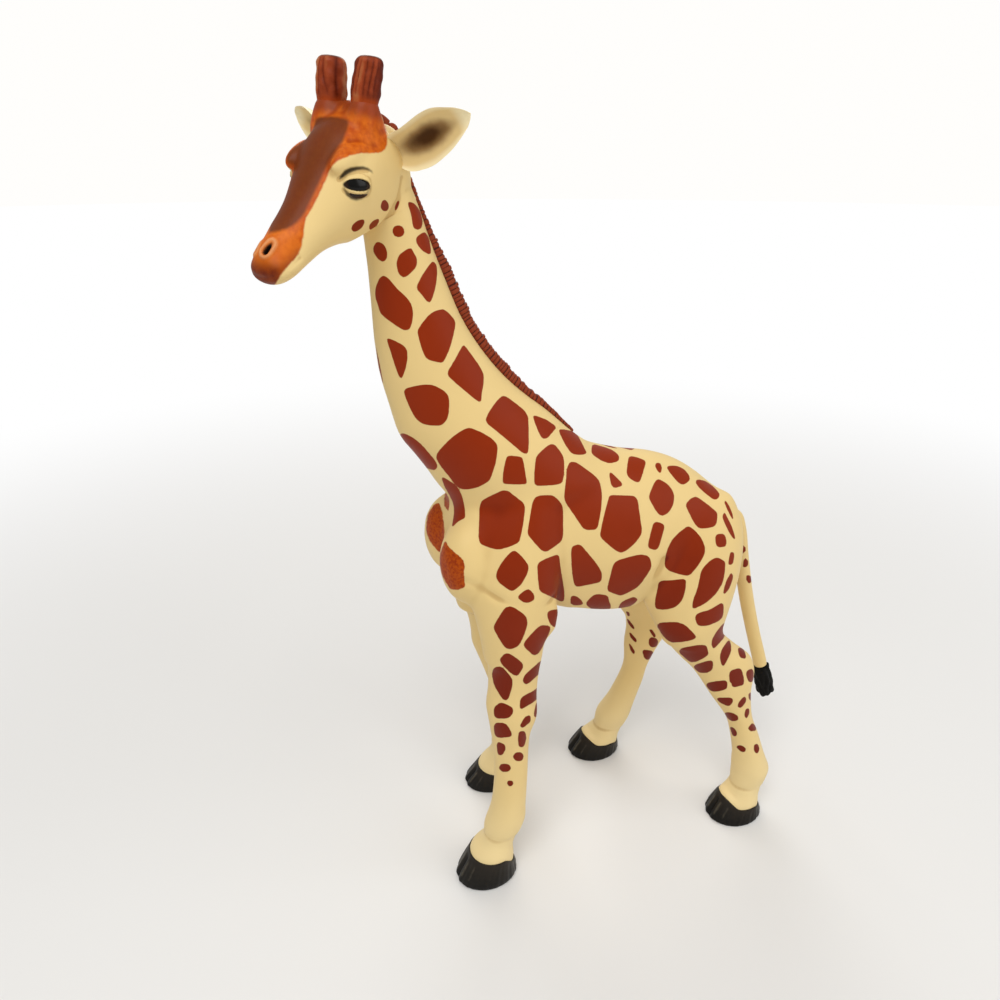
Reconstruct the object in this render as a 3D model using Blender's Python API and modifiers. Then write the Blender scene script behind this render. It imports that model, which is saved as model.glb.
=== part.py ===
"""Toy giraffe figure, standing with its head turned to its left: painted moulded plastic.

Every moulding of the figure is an object of its own. Each one ends in a glue peg that sits
in a socket of the piece that carries it. Metres, +Z up, the face towards -Y, the figure's
left side at +X, and the origin on the floor under the middle of the figure.
"""
import math

import bmesh
import bpy
from mathutils import Matrix, Vector

# Fits shared by all the glued joints
GLUE_GAP = 0.0003
CUT_OVERRUN = 0.004

# Trunk, measured from the chest to the rump and from the belly to the withers
TRUNK_LENGTH = 0.068
TRUNK_DEPTH = 0.040
TRUNK_WIDTH = 0.0265
BELLY_HEIGHT = 0.0588
TRUNK_GRAIN = 0.0022
BELLY_MIDDLE_SHARE = 0.45
TRUNK_SHARES = (
    # along, bottom, top, half width, level of the widest line
    (0.030, 0.36, 0.50, 0.30, 0.50),
    (0.050, 0.23, 0.66, 0.62, 0.50),
    (0.090, 0.12, 0.78, 0.84, 0.50),
    (0.180, 0.07, 0.90, 0.90, 0.48),
    (0.290, 0.07, 0.97, 0.92, 0.46),
    (0.390, 0.07, 0.94, 0.94, 0.44),
    (0.490, 0.03, 0.88, 0.98, 0.42),
    (0.590, 0.02, 0.83, 1.00, 0.42),
    (0.680, 0.06, 0.80, 0.98, 0.44),
    (0.780, 0.12, 0.73, 0.94, 0.48),
    (0.880, 0.16, 0.60, 0.82, 0.50),
    (0.955, 0.22, 0.46, 0.54, 0.50),
    (1.000, 0.28, 0.37, 0.24, 0.50),
)

# Legs: the plane where each leg meets the trunk, and the leg at that plane
FORE_SEAT_HEIGHT = 0.0598
FORE_LEG_DEPTH = 0.0130
FORE_LEG_WIDTH = 0.0112
SHOULDER_TRACK = 0.0208
SHOULDER_ALONG_SHARE = 0.185
HIND_SEAT_HEIGHT = 0.0553
HIND_LEG_DEPTH = 0.0154
HIND_LEG_WIDTH = 0.0120
HIP_TRACK = 0.0208
HIP_ALONG_SHARE = 0.776
FORE_FOOT_TRACK = 0.0262
HIND_FOOT_TRACK = 0.0302
LEG_PEG_RADIUS = 0.0026
LEG_PEG_LENGTH = 0.0060

# Where each foot stands and where its ankle is, forward or back of the shoulder or hip
FORE_LEFT_FOOT = -0.0059
FORE_LEFT_ANKLE = -0.0019
FORE_RIGHT_FOOT = 0.0034
FORE_RIGHT_ANKLE = 0.0078
HIND_LEFT_FOOT = 0.0164
HIND_LEFT_ANKLE = 0.0198
HIND_RIGHT_FOOT = -0.0074
HIND_RIGHT_ANKLE = -0.0030

# Leg tables: height as a share of the seat height, then depth, width and rearward bend
# as shares of the depth and width at the seat
FORE_LEG_SHARES = (
    (1.000, 1.00, 1.00, 0.00),
    (0.934, 0.89, 0.91, 0.04),
    (0.870, 0.81, 0.82, 0.04),
    (0.800, 0.79, 0.76, 0.03),
    (0.740, 0.82, 0.78, 0.02),
    (0.680, 0.79, 0.79, 0.05),
    (0.607, 0.64, 0.66, 0.03),
    (0.518, 0.57, 0.60, 0.05),
    (0.434, 0.56, 0.59, 0.06),
    (0.340, 0.57, 0.62, 0.05),
    (0.285, 0.60, 0.67, 0.03),
    (0.240, 0.66, 0.72, 0.01),
    (0.200, 0.65, 0.70, 0.00),
    (0.168, 0.55, 0.63, -0.02),
    (0.145, 0.57, 0.66, -0.045),
    (0.120, 0.69, 0.77, -0.070),
    (0.095, 0.75, 0.84, -0.080),
)
HIND_LEG_SHARES = (
    (1.000, 1.00, 1.00, 0.00),
    (0.955, 0.87, 0.92, -0.02),
    (0.910, 0.80, 0.84, 0.01),
    (0.850, 0.85, 0.73, 0.11),
    (0.785, 0.93, 0.66, 0.23),
    (0.725, 0.83, 0.62, 0.26),
    (0.685, 0.70, 0.58, 0.23),
    (0.620, 0.52, 0.54, 0.17),
    (0.500, 0.38, 0.49, 0.13),
    (0.410, 0.41, 0.51, 0.11),
    (0.300, 0.49, 0.58, 0.07),
    (0.225, 0.56, 0.66, 0.03),
    (0.185, 0.54, 0.64, 0.01),
    (0.158, 0.48, 0.60, -0.01),
    (0.135, 0.52, 0.64, -0.035),
    (0.112, 0.60, 0.72, -0.055),
    (0.090, 0.64, 0.77, -0.060),
)
FORE_ANKLE_SHARE = 0.250
HIND_ANKLE_SHARE = 0.215
HIND_LEFT_BEND = 1.0
HIND_RIGHT_BEND = 1.5

# Shoulder and haunch muscles, from under the seat plane up into the trunk
SHOULDER_RISE = 0.034
SHOULDER_SHARES = (
    # rise, depth, width, back shift and inward shift as shares of the depth and width
    (-0.15, 0.90, 0.92, 0.00, 0.00),
    (0.00, 1.02, 1.02, 0.00, 0.00),
    (0.15, 1.19, 1.10, 0.01, 0.03),
    (0.32, 1.33, 1.18, 0.05, 0.09),
    (0.56, 1.32, 1.16, 0.15, 0.20),
    (0.80, 1.08, 1.00, 0.30, 0.34),
    (0.97, 0.70, 0.72, 0.42, 0.46),
)
HAUNCH_RISE = 0.029
HAUNCH_SHARES = (
    (-0.16, 0.84, 0.90, 0.05, 0.00),
    (0.00, 1.02, 1.02, 0.00, 0.00),
    (0.16, 1.21, 1.10, 0.00, 0.04),
    (0.33, 1.34, 1.14, 0.02, 0.09),
    (0.53, 1.36, 1.12, 0.06, 0.15),
    (0.74, 1.24, 1.02, 0.10, 0.23),
    (0.95, 0.86, 0.76, 0.14, 0.36),
)

# Breast muscles: a pair of lobes with a fold between them
BREAST_SPACING = 0.0128
BREAST_WIDTH = 0.0118
BREAST_DEPTH = 0.0110
BREAST_HEIGHT = 0.0175
BREAST_ALONG_SHARE = 0.070
BREAST_LEVEL_SHARE = 0.42

# Hooves: cloven, flat on the floor, with a coronet that runs down to the heel
HOOF_LENGTH = 0.0134
HOOF_WIDTH = 0.0108
CORONET_FRONT = 0.0084
CORONET_HEEL = 0.0027
CORONET_CURVE = 1.2
HOOF_TOE_SHARE = 0.56
HOOF_CLEFT = 0.0011
HOOF_EDGE = 0.0006
HOOF_PIN_RADIUS = 0.0015
HOOF_PIN_LENGTH = 0.0026
HOOF_SHARES = (
    # height between the floor and the coronet, length and width
    (0.30, 1.03, 1.03),
    (0.65, 0.93, 0.95),
)

# Neck: pairs of points on the throat line and the nape line, from the chest notch up.
# The places are shares of the neck's reach forward and of its rise.
NECK_REACH = 0.0440
NECK_RISE = 0.0560
NECK_WIDTH = 0.0220
NECK_ROOT_BACK = 0.0010
NECK_ROOT_HEIGHT = 0.0888
NECK_SEAT_ROW = 1
NECK_BLEND_ROWS = 4
NECK_TOP_ROW = 9
NECK_ROOM_ROWS = 3
NECK_SHARES = (
    # throat forward, throat up, nape forward, nape up, width
    (0.705, -0.060, -0.045, 0.030, 1.06),
    (0.773, 0.050, 0.159, 0.154, 0.98),
    (0.848, 0.143, 0.284, 0.243, 0.86),
    (0.911, 0.214, 0.382, 0.304, 0.75),
    (0.957, 0.304, 0.484, 0.377, 0.65),
    (0.989, 0.402, 0.580, 0.466, 0.58),
    (1.002, 0.509, 0.664, 0.567, 0.53),
    (1.005, 0.625, 0.727, 0.681, 0.49),
    (1.009, 0.732, 0.783, 0.792, 0.46),
    (1.018, 0.832, 0.830, 0.905, 0.44),
    (1.030, 0.910, 0.868, 0.983, 0.40),
)
NECK_PEG_RADIUS = 0.0040
NECK_PEG_LENGTH = 0.0060

# Head: a frame of its own, turned to the left and nodded down
HEAD_TURN = math.radians(36.9)
HEAD_NOD = math.radians(20.9)
HEAD_LEAN = math.radians(3.6)
HEAD_LENGTH = 0.0272
HEAD_HEIGHT = 0.0172
HEAD_WIDTH = 0.0136
HEAD_BACK = 0.0018
HEAD_LIFT = 0.0074
HEAD_SHARES = (
    # forward, top and underside from the eye line, half width, level of the widest line
    (-0.150, 0.02, -0.20, 0.30, 0.50),
    (-0.120, 0.12, -0.35, 0.60, 0.50),
    (-0.055, 0.29, -0.45, 0.82, 0.52),
    (0.030, 0.45, -0.49, 0.93, 0.55),
    (0.140, 0.50, -0.52, 0.97, 0.58),
    (0.260, 0.47, -0.51, 1.00, 0.60),
    (0.370, 0.38, -0.47, 0.97, 0.60),
    (0.490, 0.25, -0.41, 0.79, 0.52),
    (0.620, 0.11, -0.38, 0.65, 0.46),
    (0.760, 0.00, -0.40, 0.59, 0.45),
    (0.870, -0.06, -0.42, 0.59, 0.46),
    (0.945, -0.13, -0.41, 0.51, 0.48),
    (0.985, -0.21, -0.37, 0.35, 0.50),
    (1.000, -0.26, -0.32, 0.17, 0.50),
)
BROW_LENGTH = 0.0096
BROW_WIDTH = 0.0034
BROW_HEIGHT = 0.0038
BROW_SHARES = (0.67, 0.294, 0.250)
CROWN_LENGTH = 0.0064
CROWN_WIDTH = 0.0104
CROWN_HEIGHT = 0.0060
CROWN_SHARES = (0.00, 0.062, 0.378)
OCCIPUT_LENGTH = 0.0062
OCCIPUT_WIDTH = 0.0094
OCCIPUT_HEIGHT = 0.0064
OCCIPUT_SHARES = (0.00, -0.062, 0.120)
NOSTRIL_LENGTH = 0.0019
NOSTRIL_WIDTH = 0.0009
NOSTRIL_SHARES = (0.42, 0.925, -0.125)
HEAD_PEG_RADIUS = 0.0022
HEAD_PEG_LENGTH = 0.0040

# Horns, ears and eyes, placed in the head's own frame
HORN_LENGTH = 0.0094
HORN_RADIUS = 0.0020
HORN_SPACING = 0.0067
HORN_SPREAD = math.radians(3)
HORN_RAKE = math.radians(26)
HORN_FORWARD_SHARE = 0.070
HORN_ROOT_SHARE = 0.30
HORN_FLUTE_SHARE = 0.93
HORN_FLARE_SHARES = (
    # rise above the crown and radius, both as shares of the horn's radius
    (-3.00, 0.75),
    (-2.10, 1.55),
    (-1.20, 1.50),
    (-0.50, 1.32),
    (0.10, 1.20),
)
HORN_SHARES = (
    # along, radius
    (0.00, 0.94),
    (0.20, 1.00),
    (0.36, 0.95),
    (0.55, 0.92),
    (0.75, 0.99),
    (0.92, 1.05),
    (0.985, 0.98),
    (1.00, 0.80),
)
EAR_LENGTH = 0.0152
EAR_WIDTH = 0.0080
EAR_THICKNESS = 0.0011
EAR_CUP = 0.0016
EAR_STALK_RADIUS = 0.0013
EAR_SIDE_SHARE = 0.64
EAR_FORWARD_SHARE = 0.02
EAR_LIFT_SHARE = 0.06
EAR_LEFT_RAISE = math.radians(23)
EAR_RIGHT_RAISE = math.radians(15)
EAR_SWEEP = math.radians(20)
EAR_SHARES = (
    # along, half width, cup
    (0.00, 0.00, 0.00),
    (0.06, 0.10, 0.10),
    (0.13, 0.66, 0.55),
    (0.22, 0.84, 0.90),
    (0.36, 0.98, 1.00),
    (0.52, 1.00, 1.00),
    (0.66, 0.90, 0.85),
    (0.78, 0.72, 0.60),
    (0.90, 0.44, 0.30),
    (0.97, 0.18, 0.10),
    (1.00, 0.04, 0.00),
)
EYE_RADIUS = 0.0019
EYE_FORWARD_SHARE = 0.374
EYE_SIDE_SHARE = 0.81
EYE_LIFT_SHARE = 0.085

# Mane: a ribbed strip let into the nape
MANE_WIDTH = 0.0018
MANE_PROUD = 0.0013
MANE_ROOT = 0.0007
MANE_RIBS = 40
MANE_VALLEY_SHARE = 0.60
MANE_SHOULDER_SHARE = 0.72
MANE_END_SHARE = 0.35
MANE_TAPER_SHARE = 0.30
MANE_CROWN_SHARES = ((-0.03, 0.48), (-0.10, 0.36), (-0.16, 0.20))

# Tail and its tuft
TAIL_RADIUS = 0.00160
TAIL_ROOT_LIFT_SHARE = 0.36
TAIL_DROP = 0.0426
TAIL_SWING = 0.0152
TAIL_SHARES = (
    # back, down, radius
    (-0.24, 0.00, 0.75),
    (0.00, 0.00, 0.90),
    (0.12, 0.09, 1.05),
    (0.25, 0.27, 1.03),
    (0.45, 0.52, 0.94),
    (0.68, 0.76, 0.88),
    (0.88, 0.95, 0.86),
    (0.93, 1.00, 0.86),
)
TAIL_PIN_SHARE = 0.55
TUFT_LENGTH = 0.0106
TUFT_RADIUS = 0.0021
TUFT_LOCK_SHARE = 0.86
TUFT_SHARES = (
    (0.00, 0.62),
    (0.06, 0.86),
    (0.40, 1.05),
    (0.72, 0.98),
    (0.90, 0.74),
    (1.00, 0.42),
)

# Facets
LEG_SIDES = 16
LEG_RINGS = 24
BODY_SIDES = 24
BODY_RINGS = 24
BREAST_RINGS = 10
NECK_SIDES = 20
NECK_RINGS = 20
HEAD_SIDES = 20
HEAD_RINGS = 26
PEG_SIDES = 12
HORN_SIDES = 16
HORN_FLARE_RINGS = 5
EAR_SIDES = 12
TAIL_SIDES = 8
TUFT_SIDES = 10
EYE_SIDES = 12
EAR_SOCKET_RINGS = 4
TAIL_RINGS = 14
SMOOTHING_STEPS = 3
SMOOTHING_SHARE = 0.5

CREAM = (0.83, 0.72, 0.50, 1.0)
REDDISH = (0.34, 0.06, 0.02, 1.0)
CHARCOAL = (0.035, 0.037, 0.040, 1.0)
SOOT = (0.010, 0.010, 0.010, 1.0)
SATIN = 0.44
SEMI_GLOSS = 0.34


def clear_scene():
    for item in list(bpy.data.objects):
        bpy.data.objects.remove(item, do_unlink=True)


def new_collection(name):
    group = bpy.data.collections.new(name)
    bpy.context.scene.collection.children.link(group)
    return group


def new_material(name, colour, roughness):
    paint = bpy.data.materials.new(name)
    paint.use_nodes = True
    shader = paint.node_tree.nodes["Principled BSDF"]
    shader.inputs["Base Color"].default_value = colour
    shader.inputs["Roughness"].default_value = roughness
    paint.diffuse_color = colour
    return paint


def spread(rows, count):
    """Resample a table of rows with a smooth curve through them, at even steps."""
    last = len(rows) - 1
    result = []
    for step in range(count):
        place = last * step / (count - 1)
        row = min(int(place), last - 1)
        part = place - row
        before, start = rows[max(row - 1, 0)], rows[row]
        end, after = rows[row + 1], rows[min(row + 2, last)]
        values = []
        for a, b, c, d in zip(before, start, end, after):
            bend = (2 * a - 5 * b + 4 * c - d) * part ** 2 + (3 * b - a - 3 * c + d) * part ** 3
            values.append(b + ((c - a) * part + bend) / 2)
        result.append(tuple(values))
    return result


def round_ring(centre, across, along, half_across, half_along, sides):
    """A closed ring about a centre: its first point lies on the +along side."""
    points = []
    for step in range(sides):
        angle = math.tau * step / sides
        wide, deep = math.sin(angle) * half_across, math.cos(angle) * half_along
        points.append(centre + across * wide + along * deep)
    return points


def loft_into(mesh, rings):
    """Skin a row of rings and close both ends with strips from side to side."""
    loops = [[mesh.verts.new(point) for point in ring] for ring in rings]
    sides = len(loops[0])
    for lower, upper in zip(loops, loops[1:]):
        for side in range(sides):
            turn = (side + 1) % sides
            mesh.faces.new((lower[side], lower[turn], upper[turn], upper[side]))
    for loop in (loops[0], loops[-1]):
        for step in range(sides // 2):
            corners = [loop[step], loop[step + 1], loop[(sides - step - 1) % sides], loop[-step % sides]]
            corners = list(dict.fromkeys(corners))
            if len(corners) > 2:
                mesh.faces.new(corners)


def loft_mesh(name, *lofts):
    mesh = bmesh.new()
    for rings in lofts:
        loft_into(mesh, rings)
    bmesh.ops.recalc_face_normals(mesh, faces=mesh.faces)
    data = bpy.data.meshes.new(name)
    mesh.to_mesh(data)
    mesh.free()
    data.shade_smooth()
    return data


def place(name, data, group, parent, paint=None):
    item = bpy.data.objects.new(name, data)
    group.objects.link(item)
    item.parent = parent
    if paint:
        data.materials.append(paint)
    return item


def peg_mesh(name, start, end, radius, gap=0.0):
    """A straight glue peg, or with a gap the cutter of its socket."""
    axis = (end - start).normalized()
    across = axis.orthogonal().normalized()
    along = axis.cross(across)
    stretch = axis * gap
    rings = [
        round_ring(spot, across, along, radius + gap, radius + gap, PEG_SIDES)
        for spot in (start, end + stretch)
    ]
    return loft_mesh(name, rings)


class Figure:
    """Holds the collections, the placing empties and the cutters of the figure."""

    def __init__(self):
        clear_scene()
        self.parts = new_collection("giraffe_figure")
        self.guides = new_collection("cutters")
        self.stand = bpy.data.objects.new("stand_point", None)
        self.parts.objects.link(self.stand)
        self.cream = new_material("cream_plastic", CREAM, SATIN)
        self.reddish = new_material("red_brown_paint", REDDISH, SATIN)
        self.charcoal = new_material("charcoal_paint", CHARCOAL, SEMI_GLOSS)
        self.soot = new_material("black_paint", SOOT, SEMI_GLOSS)

    def part(self, name, data, paint, parent=None):
        return place(name, data, self.parts, parent or self.stand, paint)

    def guide(self, name, data, parent=None):
        item = place(name, data, self.guides, parent or self.stand)
        item.hide_render = True
        item.display_type = "WIRE"
        return item

    def combine(self, piece, tool, operation):
        change = piece.modifiers.new(tool.name, "BOOLEAN")
        change.operation = operation
        change.solver = "EXACT"
        change.object = tool

    def cut(self, piece, cutter):
        self.combine(piece, cutter, "DIFFERENCE")

    def fuse(self, piece, addition):
        self.combine(piece, addition, "UNION")

    def peg(self, name, male, female, start, seat, end, radius):
        """Give the male piece a peg and the female piece a socket with the glue gap."""
        self.fuse(male, self.guide(name + "_peg", peg_mesh(name, start, end, radius)))
        socket = peg_mesh(name, seat, end, radius, GLUE_GAP)
        self.cut(female, self.guide(name + "_socket", socket))


def trunk_along(share):
    """Place along the figure, with the middle of the trunk at zero."""
    return TRUNK_LENGTH * share - TRUNK_LENGTH / 2


def trunk_rings():
    rings = []
    for along, bottom, top, width, level in spread(TRUNK_SHARES, BODY_RINGS):
        low = BELLY_HEIGHT + TRUNK_DEPTH * bottom
        high = BELLY_HEIGHT + TRUNK_DEPTH * top
        waist = low + (high - low) * level
        ring = []
        for step in range(BODY_SIDES):
            angle = math.tau * step / BODY_SIDES
            side = TRUNK_WIDTH / 2 * width * math.sin(angle)
            reach = high - waist if math.cos(angle) > 0 else waist - low
            ring.append(Vector((side, trunk_along(along), waist + reach * math.cos(angle))))
        rings.append(ring)
    return rings


class Leg:
    """The places and sizes of one leg, from its seat on the trunk to its hoof."""

    def __init__(self, name, side, fore, foot, ankle, bend):
        self.name = name
        self.side = side
        self.fore = fore
        self.bend = bend
        self.seat_height = FORE_SEAT_HEIGHT if fore else HIND_SEAT_HEIGHT
        self.depth = FORE_LEG_DEPTH if fore else HIND_LEG_DEPTH
        self.width = FORE_LEG_WIDTH if fore else HIND_LEG_WIDTH
        self.shares = FORE_LEG_SHARES if fore else HIND_LEG_SHARES
        self.ankle_share = FORE_ANKLE_SHARE if fore else HIND_ANKLE_SHARE
        self.seat_y = trunk_along(SHOULDER_ALONG_SHARE if fore else HIP_ALONG_SHARE)
        self.seat_x = side * (SHOULDER_TRACK if fore else HIP_TRACK) / 2
        self.foot_x = side * (FORE_FOOT_TRACK if fore else HIND_FOOT_TRACK) / 2
        self.foot_y = self.seat_y + foot
        self.ankle_y = self.seat_y + ankle

    def centre(self, share, bend):
        """The leg's centre line: seat to ankle, then ankle to hoof."""
        knuckle = self.ankle_share
        if share > knuckle:
            part = (share - knuckle) / (1 - knuckle)
            along = self.ankle_y + (self.seat_y - self.ankle_y) * part
        else:
            along = self.foot_y + (self.ankle_y - self.foot_y) * share / knuckle
        across = self.foot_x + (self.seat_x - self.foot_x) * share
        return Vector((across, along + bend * self.bend * self.depth, self.seat_height * share))

    def coronet(self, along):
        """Height of the hoof's top edge at a place: high at the toe, low at the heel."""
        share = (self.foot_y + HOOF_LENGTH / 2 - along) / HOOF_LENGTH
        share = min(max(share, 0.0), 1.0)
        return CORONET_HEEL + (CORONET_FRONT - CORONET_HEEL) * share ** CORONET_CURVE

    def rings(self):
        across, along = Vector((1, 0, 0)), Vector((0, 1, 0))
        table = spread(self.shares, LEG_RINGS)
        rings = []
        for share, depth, width, bend in table:
            spot = self.centre(share, bend)
            half_depth, half_width = self.depth * depth / 2, self.width * width / 2
            rings.append(round_ring(spot, across, along, half_width, half_depth, LEG_SIDES))
        for point in rings[0]:
            point.z = self.seat_height - GLUE_GAP
        for point in rings[-1]:
            point.z = self.coronet(point.y) + GLUE_GAP
        # The rings above keep clear of the slanting end
        for over, under in ((-2, -1), (-3, -2)):
            for point, below in zip(rings[over], rings[under]):
                point.z = max(point.z, below.z + GLUE_GAP)
        return rings

    def hoof_rings(self):
        """Floor ring, wall rings and the coronet ring, which follows the leg's own end."""
        across, along = Vector((1, 0, 0)), Vector((0, 1, 0))
        top = self.rings()[-1]
        spot = Vector((self.foot_x, self.foot_y + HOOF_LENGTH / 2 - HOOF_LENGTH * HOOF_TOE_SHARE, 0))
        rings = [
            round_ring(spot, across, along, HOOF_WIDTH / 2 - HOOF_EDGE, HOOF_LENGTH / 2 - HOOF_EDGE, LEG_SIDES),
        ]
        for height, length, width in HOOF_SHARES:
            ring = round_ring(spot, across, along, HOOF_WIDTH / 2 * width, HOOF_LENGTH / 2 * length, LEG_SIDES)
            for point, crown in zip(ring, top):
                point.z = (crown.z - GLUE_GAP) * height
            rings.append(ring)
        rings.append([point - Vector((0, 0, GLUE_GAP)) for point in top])
        toe = LEG_SIDES // 2
        for ring in rings[:-1]:
            ring[toe].y += HOOF_CLEFT
        return rings

    def muscle_rings(self):
        """The part of the limb that swells into the trunk above the seat plane."""
        across, along = Vector((1, 0, 0)), Vector((0, 1, 0))
        rise = SHOULDER_RISE if self.fore else HAUNCH_RISE
        table = SHOULDER_SHARES if self.fore else HAUNCH_SHARES
        rings = []
        for up, depth, width, back, inward in spread(table, LEG_RINGS // 2):
            spot = Vector((
                self.seat_x - self.side * inward * self.width,
                self.seat_y + back * self.depth,
                self.seat_height + rise * up,
            ))
            half_depth, half_width = self.depth * depth / 2, self.width * width / 2
            rings.append(round_ring(spot, across, along, half_width, half_depth, LEG_SIDES))
        return rings


LEGS = (
    Leg("fore_left", 1, True, FORE_LEFT_FOOT, FORE_LEFT_ANKLE, 1.0),
    Leg("fore_right", -1, True, FORE_RIGHT_FOOT, FORE_RIGHT_ANKLE, 1.0),
    Leg("hind_left", 1, False, HIND_LEFT_FOOT, HIND_LEFT_ANKLE, HIND_LEFT_BEND),
    Leg("hind_right", -1, False, HIND_RIGHT_FOOT, HIND_RIGHT_ANKLE, HIND_RIGHT_BEND),
)


def neck_rows():
    """Throat point, nape point and half width of each row, chest to head."""
    rows = []
    for throat, throat_up, nape, nape_up, width in NECK_SHARES:
        front = Vector((0, NECK_ROOT_BACK - NECK_REACH * throat, NECK_ROOT_HEIGHT + NECK_RISE * throat_up))
        back = Vector((0, NECK_ROOT_BACK - NECK_REACH * nape, NECK_ROOT_HEIGHT + NECK_RISE * nape_up))
        rows.append((front, back, NECK_WIDTH / 2 * width))
    return rows


def neck_rings(rows, count, gap=0.0):
    table = [tuple(front) + tuple(back) + (width,) for front, back, width in rows]
    rings = []
    for row in spread(table, count):
        front, back, width = Vector(row[:3]), Vector(row[3:6]), row[6]
        along = (back - front).normalized()
        half = (back - front).length / 2 + gap
        rings.append(round_ring((front + back) / 2, Vector((1, 0, 0)), along, width + gap, half, NECK_SIDES))
    return rings


def shifted(ring, step):
    return [point + step for point in ring]


def row_frame(row):
    """Centre of a neck row, its direction to the nape and the one square to it, up the neck."""
    front, back, _ = row
    along = (back - front).normalized()
    return (front + back) / 2, along, Vector((1, 0, 0)).cross(along)


def head_matrix():
    """The head's frame: its origin is the middle of the skull, its face looks along -Y."""
    centre, back, up = row_frame(neck_rows()[NECK_TOP_ROW])
    spot = centre + up * HEAD_LIFT + back * HEAD_BACK
    turn = Matrix.Rotation(HEAD_TURN, 4, "Z") @ Matrix.Rotation(HEAD_NOD, 4, "X")
    return Matrix.Translation(spot) @ turn @ Matrix.Rotation(HEAD_LEAN, 4, "Y")


def head_point(side, forward, lift):
    return Vector((HEAD_WIDTH / 2 * side, -HEAD_LENGTH * forward, HEAD_HEIGHT * lift))


def head_rings():
    rings = []
    for forward, top, bottom, width, level in spread(HEAD_SHARES, HEAD_RINGS):
        low, high = HEAD_HEIGHT * bottom, HEAD_HEIGHT * top
        waist = low + (high - low) * level
        ring = []
        for step in range(HEAD_SIDES):
            angle = math.tau * step / HEAD_SIDES
            reach = high - waist if math.cos(angle) > 0 else waist - low
            side = HEAD_WIDTH / 2 * width * math.sin(angle)
            ring.append(Vector((side, -HEAD_LENGTH * forward, waist + reach * math.cos(angle))))
        rings.append(ring)
    return rings


def horn_frame(side):
    """Foot of a horn under the crown of the skull, and its direction."""
    foot = head_point(0, HORN_FORWARD_SHARE, 0.5)
    foot.x = side * HORN_SPACING / 2
    axis = Vector((side * math.sin(HORN_SPREAD), math.sin(HORN_RAKE), math.cos(HORN_RAKE))).normalized()
    return foot - axis * HORN_LENGTH * HORN_ROOT_SHARE, axis


def horn_flare_rings(side):
    """The skull's own swelling around the root of a horn."""
    foot, axis = horn_frame(side)
    crown = foot + axis * HORN_LENGTH * HORN_ROOT_SHARE
    across = Vector((1, 0, 0))
    along = axis.cross(across)
    rings = []
    for rise, radius in spread(HORN_FLARE_SHARES, HORN_FLARE_RINGS):
        size = HORN_RADIUS * radius
        rings.append(round_ring(crown + axis * (HORN_RADIUS * rise), across, along, size, size, HORN_SIDES))
    return rings


def horn_rings(side, gap=0.0):
    foot, axis = horn_frame(side)
    across = Vector((1, 0, 0))
    along = axis.cross(across)
    rings = []
    for up, radius in HORN_SHARES:
        ring = []
        size = HORN_RADIUS * radius + gap
        spot = foot + axis * (HORN_LENGTH * up)
        for step in range(HORN_SIDES):
            angle = math.tau * step / HORN_SIDES
            flute = HORN_FLUTE_SHARE if step % 2 and not gap else 1.0
            ring.append(spot + (across * math.sin(angle) + along * math.cos(angle)) * size * flute)
        rings.append(ring)
    if gap:
        rings[0] = [point - axis * gap for point in rings[0]]
    return rings


def ear_rings(side, gap=0.0):
    """A stalk that opens into a cupped leaf, its hollow towards the face."""
    foot = head_point(side * EAR_SIDE_SHARE, EAR_FORWARD_SHARE, EAR_LIFT_SHARE)
    lift = EAR_LEFT_RAISE if side > 0 else EAR_RIGHT_RAISE
    axis = Vector((
        side * math.cos(lift) * math.cos(EAR_SWEEP),
        math.cos(lift) * math.sin(EAR_SWEEP),
        math.sin(lift),
    ))
    hollow = Vector((axis.y * side, -axis.x * side, 0)).normalized()
    wide = hollow.cross(axis)
    rings = []
    for along, width, cup in EAR_SHARES:
        half = EAR_STALK_RADIUS + (EAR_WIDTH / 2 - EAR_STALK_RADIUS) * width
        thick = EAR_STALK_RADIUS + (EAR_THICKNESS / 2 - EAR_STALK_RADIUS) * min(width * 2, 1)
        ring = []
        for step in range(EAR_SIDES):
            angle = math.tau * step / EAR_SIDES
            out = math.cos(angle)
            edge = EAR_CUP * cup * out ** 2
            spot = foot + axis * (EAR_LENGTH * along) + wide * (out * (half + gap))
            ring.append(spot + hollow * (edge + math.sin(angle) * (thick + gap)))
        rings.append(ring)
    if gap:
        rings[0] = [point - axis * gap for point in rings[0]]
    return rings


def mane_route():
    """Points down the back of the head and the nape, each with the direction out of it."""
    skull = head_matrix()
    crown = [skull @ head_point(0, forward, lift) for forward, lift in MANE_CROWN_SHARES]
    nape = [back for _, back, _ in reversed(neck_rows()[NECK_SEAT_ROW:NECK_TOP_ROW + 1])]
    route = [Vector(row) for row in spread([tuple(point) for point in crown + nape], MANE_RIBS * 2 + 1)]
    result = []
    for step, point in enumerate(route):
        before, after = route[max(step - 1, 0)], route[min(step + 1, len(route) - 1)]
        run = (after - before).normalized()
        result.append((point, Vector((1, 0, 0)).cross(run).normalized()))
    return result


def mane_rings():
    """Ribs across the strip, dying out at the crown and at the withers."""
    rings = []
    route = mane_route()
    half = MANE_WIDTH / 2
    side = Vector((1, 0, 0))
    for step, (point, out) in enumerate(route):
        proud = MANE_PROUD if step % 2 else MANE_PROUD * MANE_VALLEY_SHARE
        done = step / (len(route) - 1)
        proud *= min(1.0, MANE_END_SHARE + min(done, 1 - done) / MANE_TAPER_SHARE)
        root = -out * MANE_ROOT
        rings.append([
            point + out * proud,
            point + (out * proud + side * half) * MANE_SHOULDER_SHARE,
            point + root + side * half,
            point + root,
            point + root - side * half,
            point + (out * proud - side * half) * MANE_SHOULDER_SHARE,
        ])
    return rings


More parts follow.
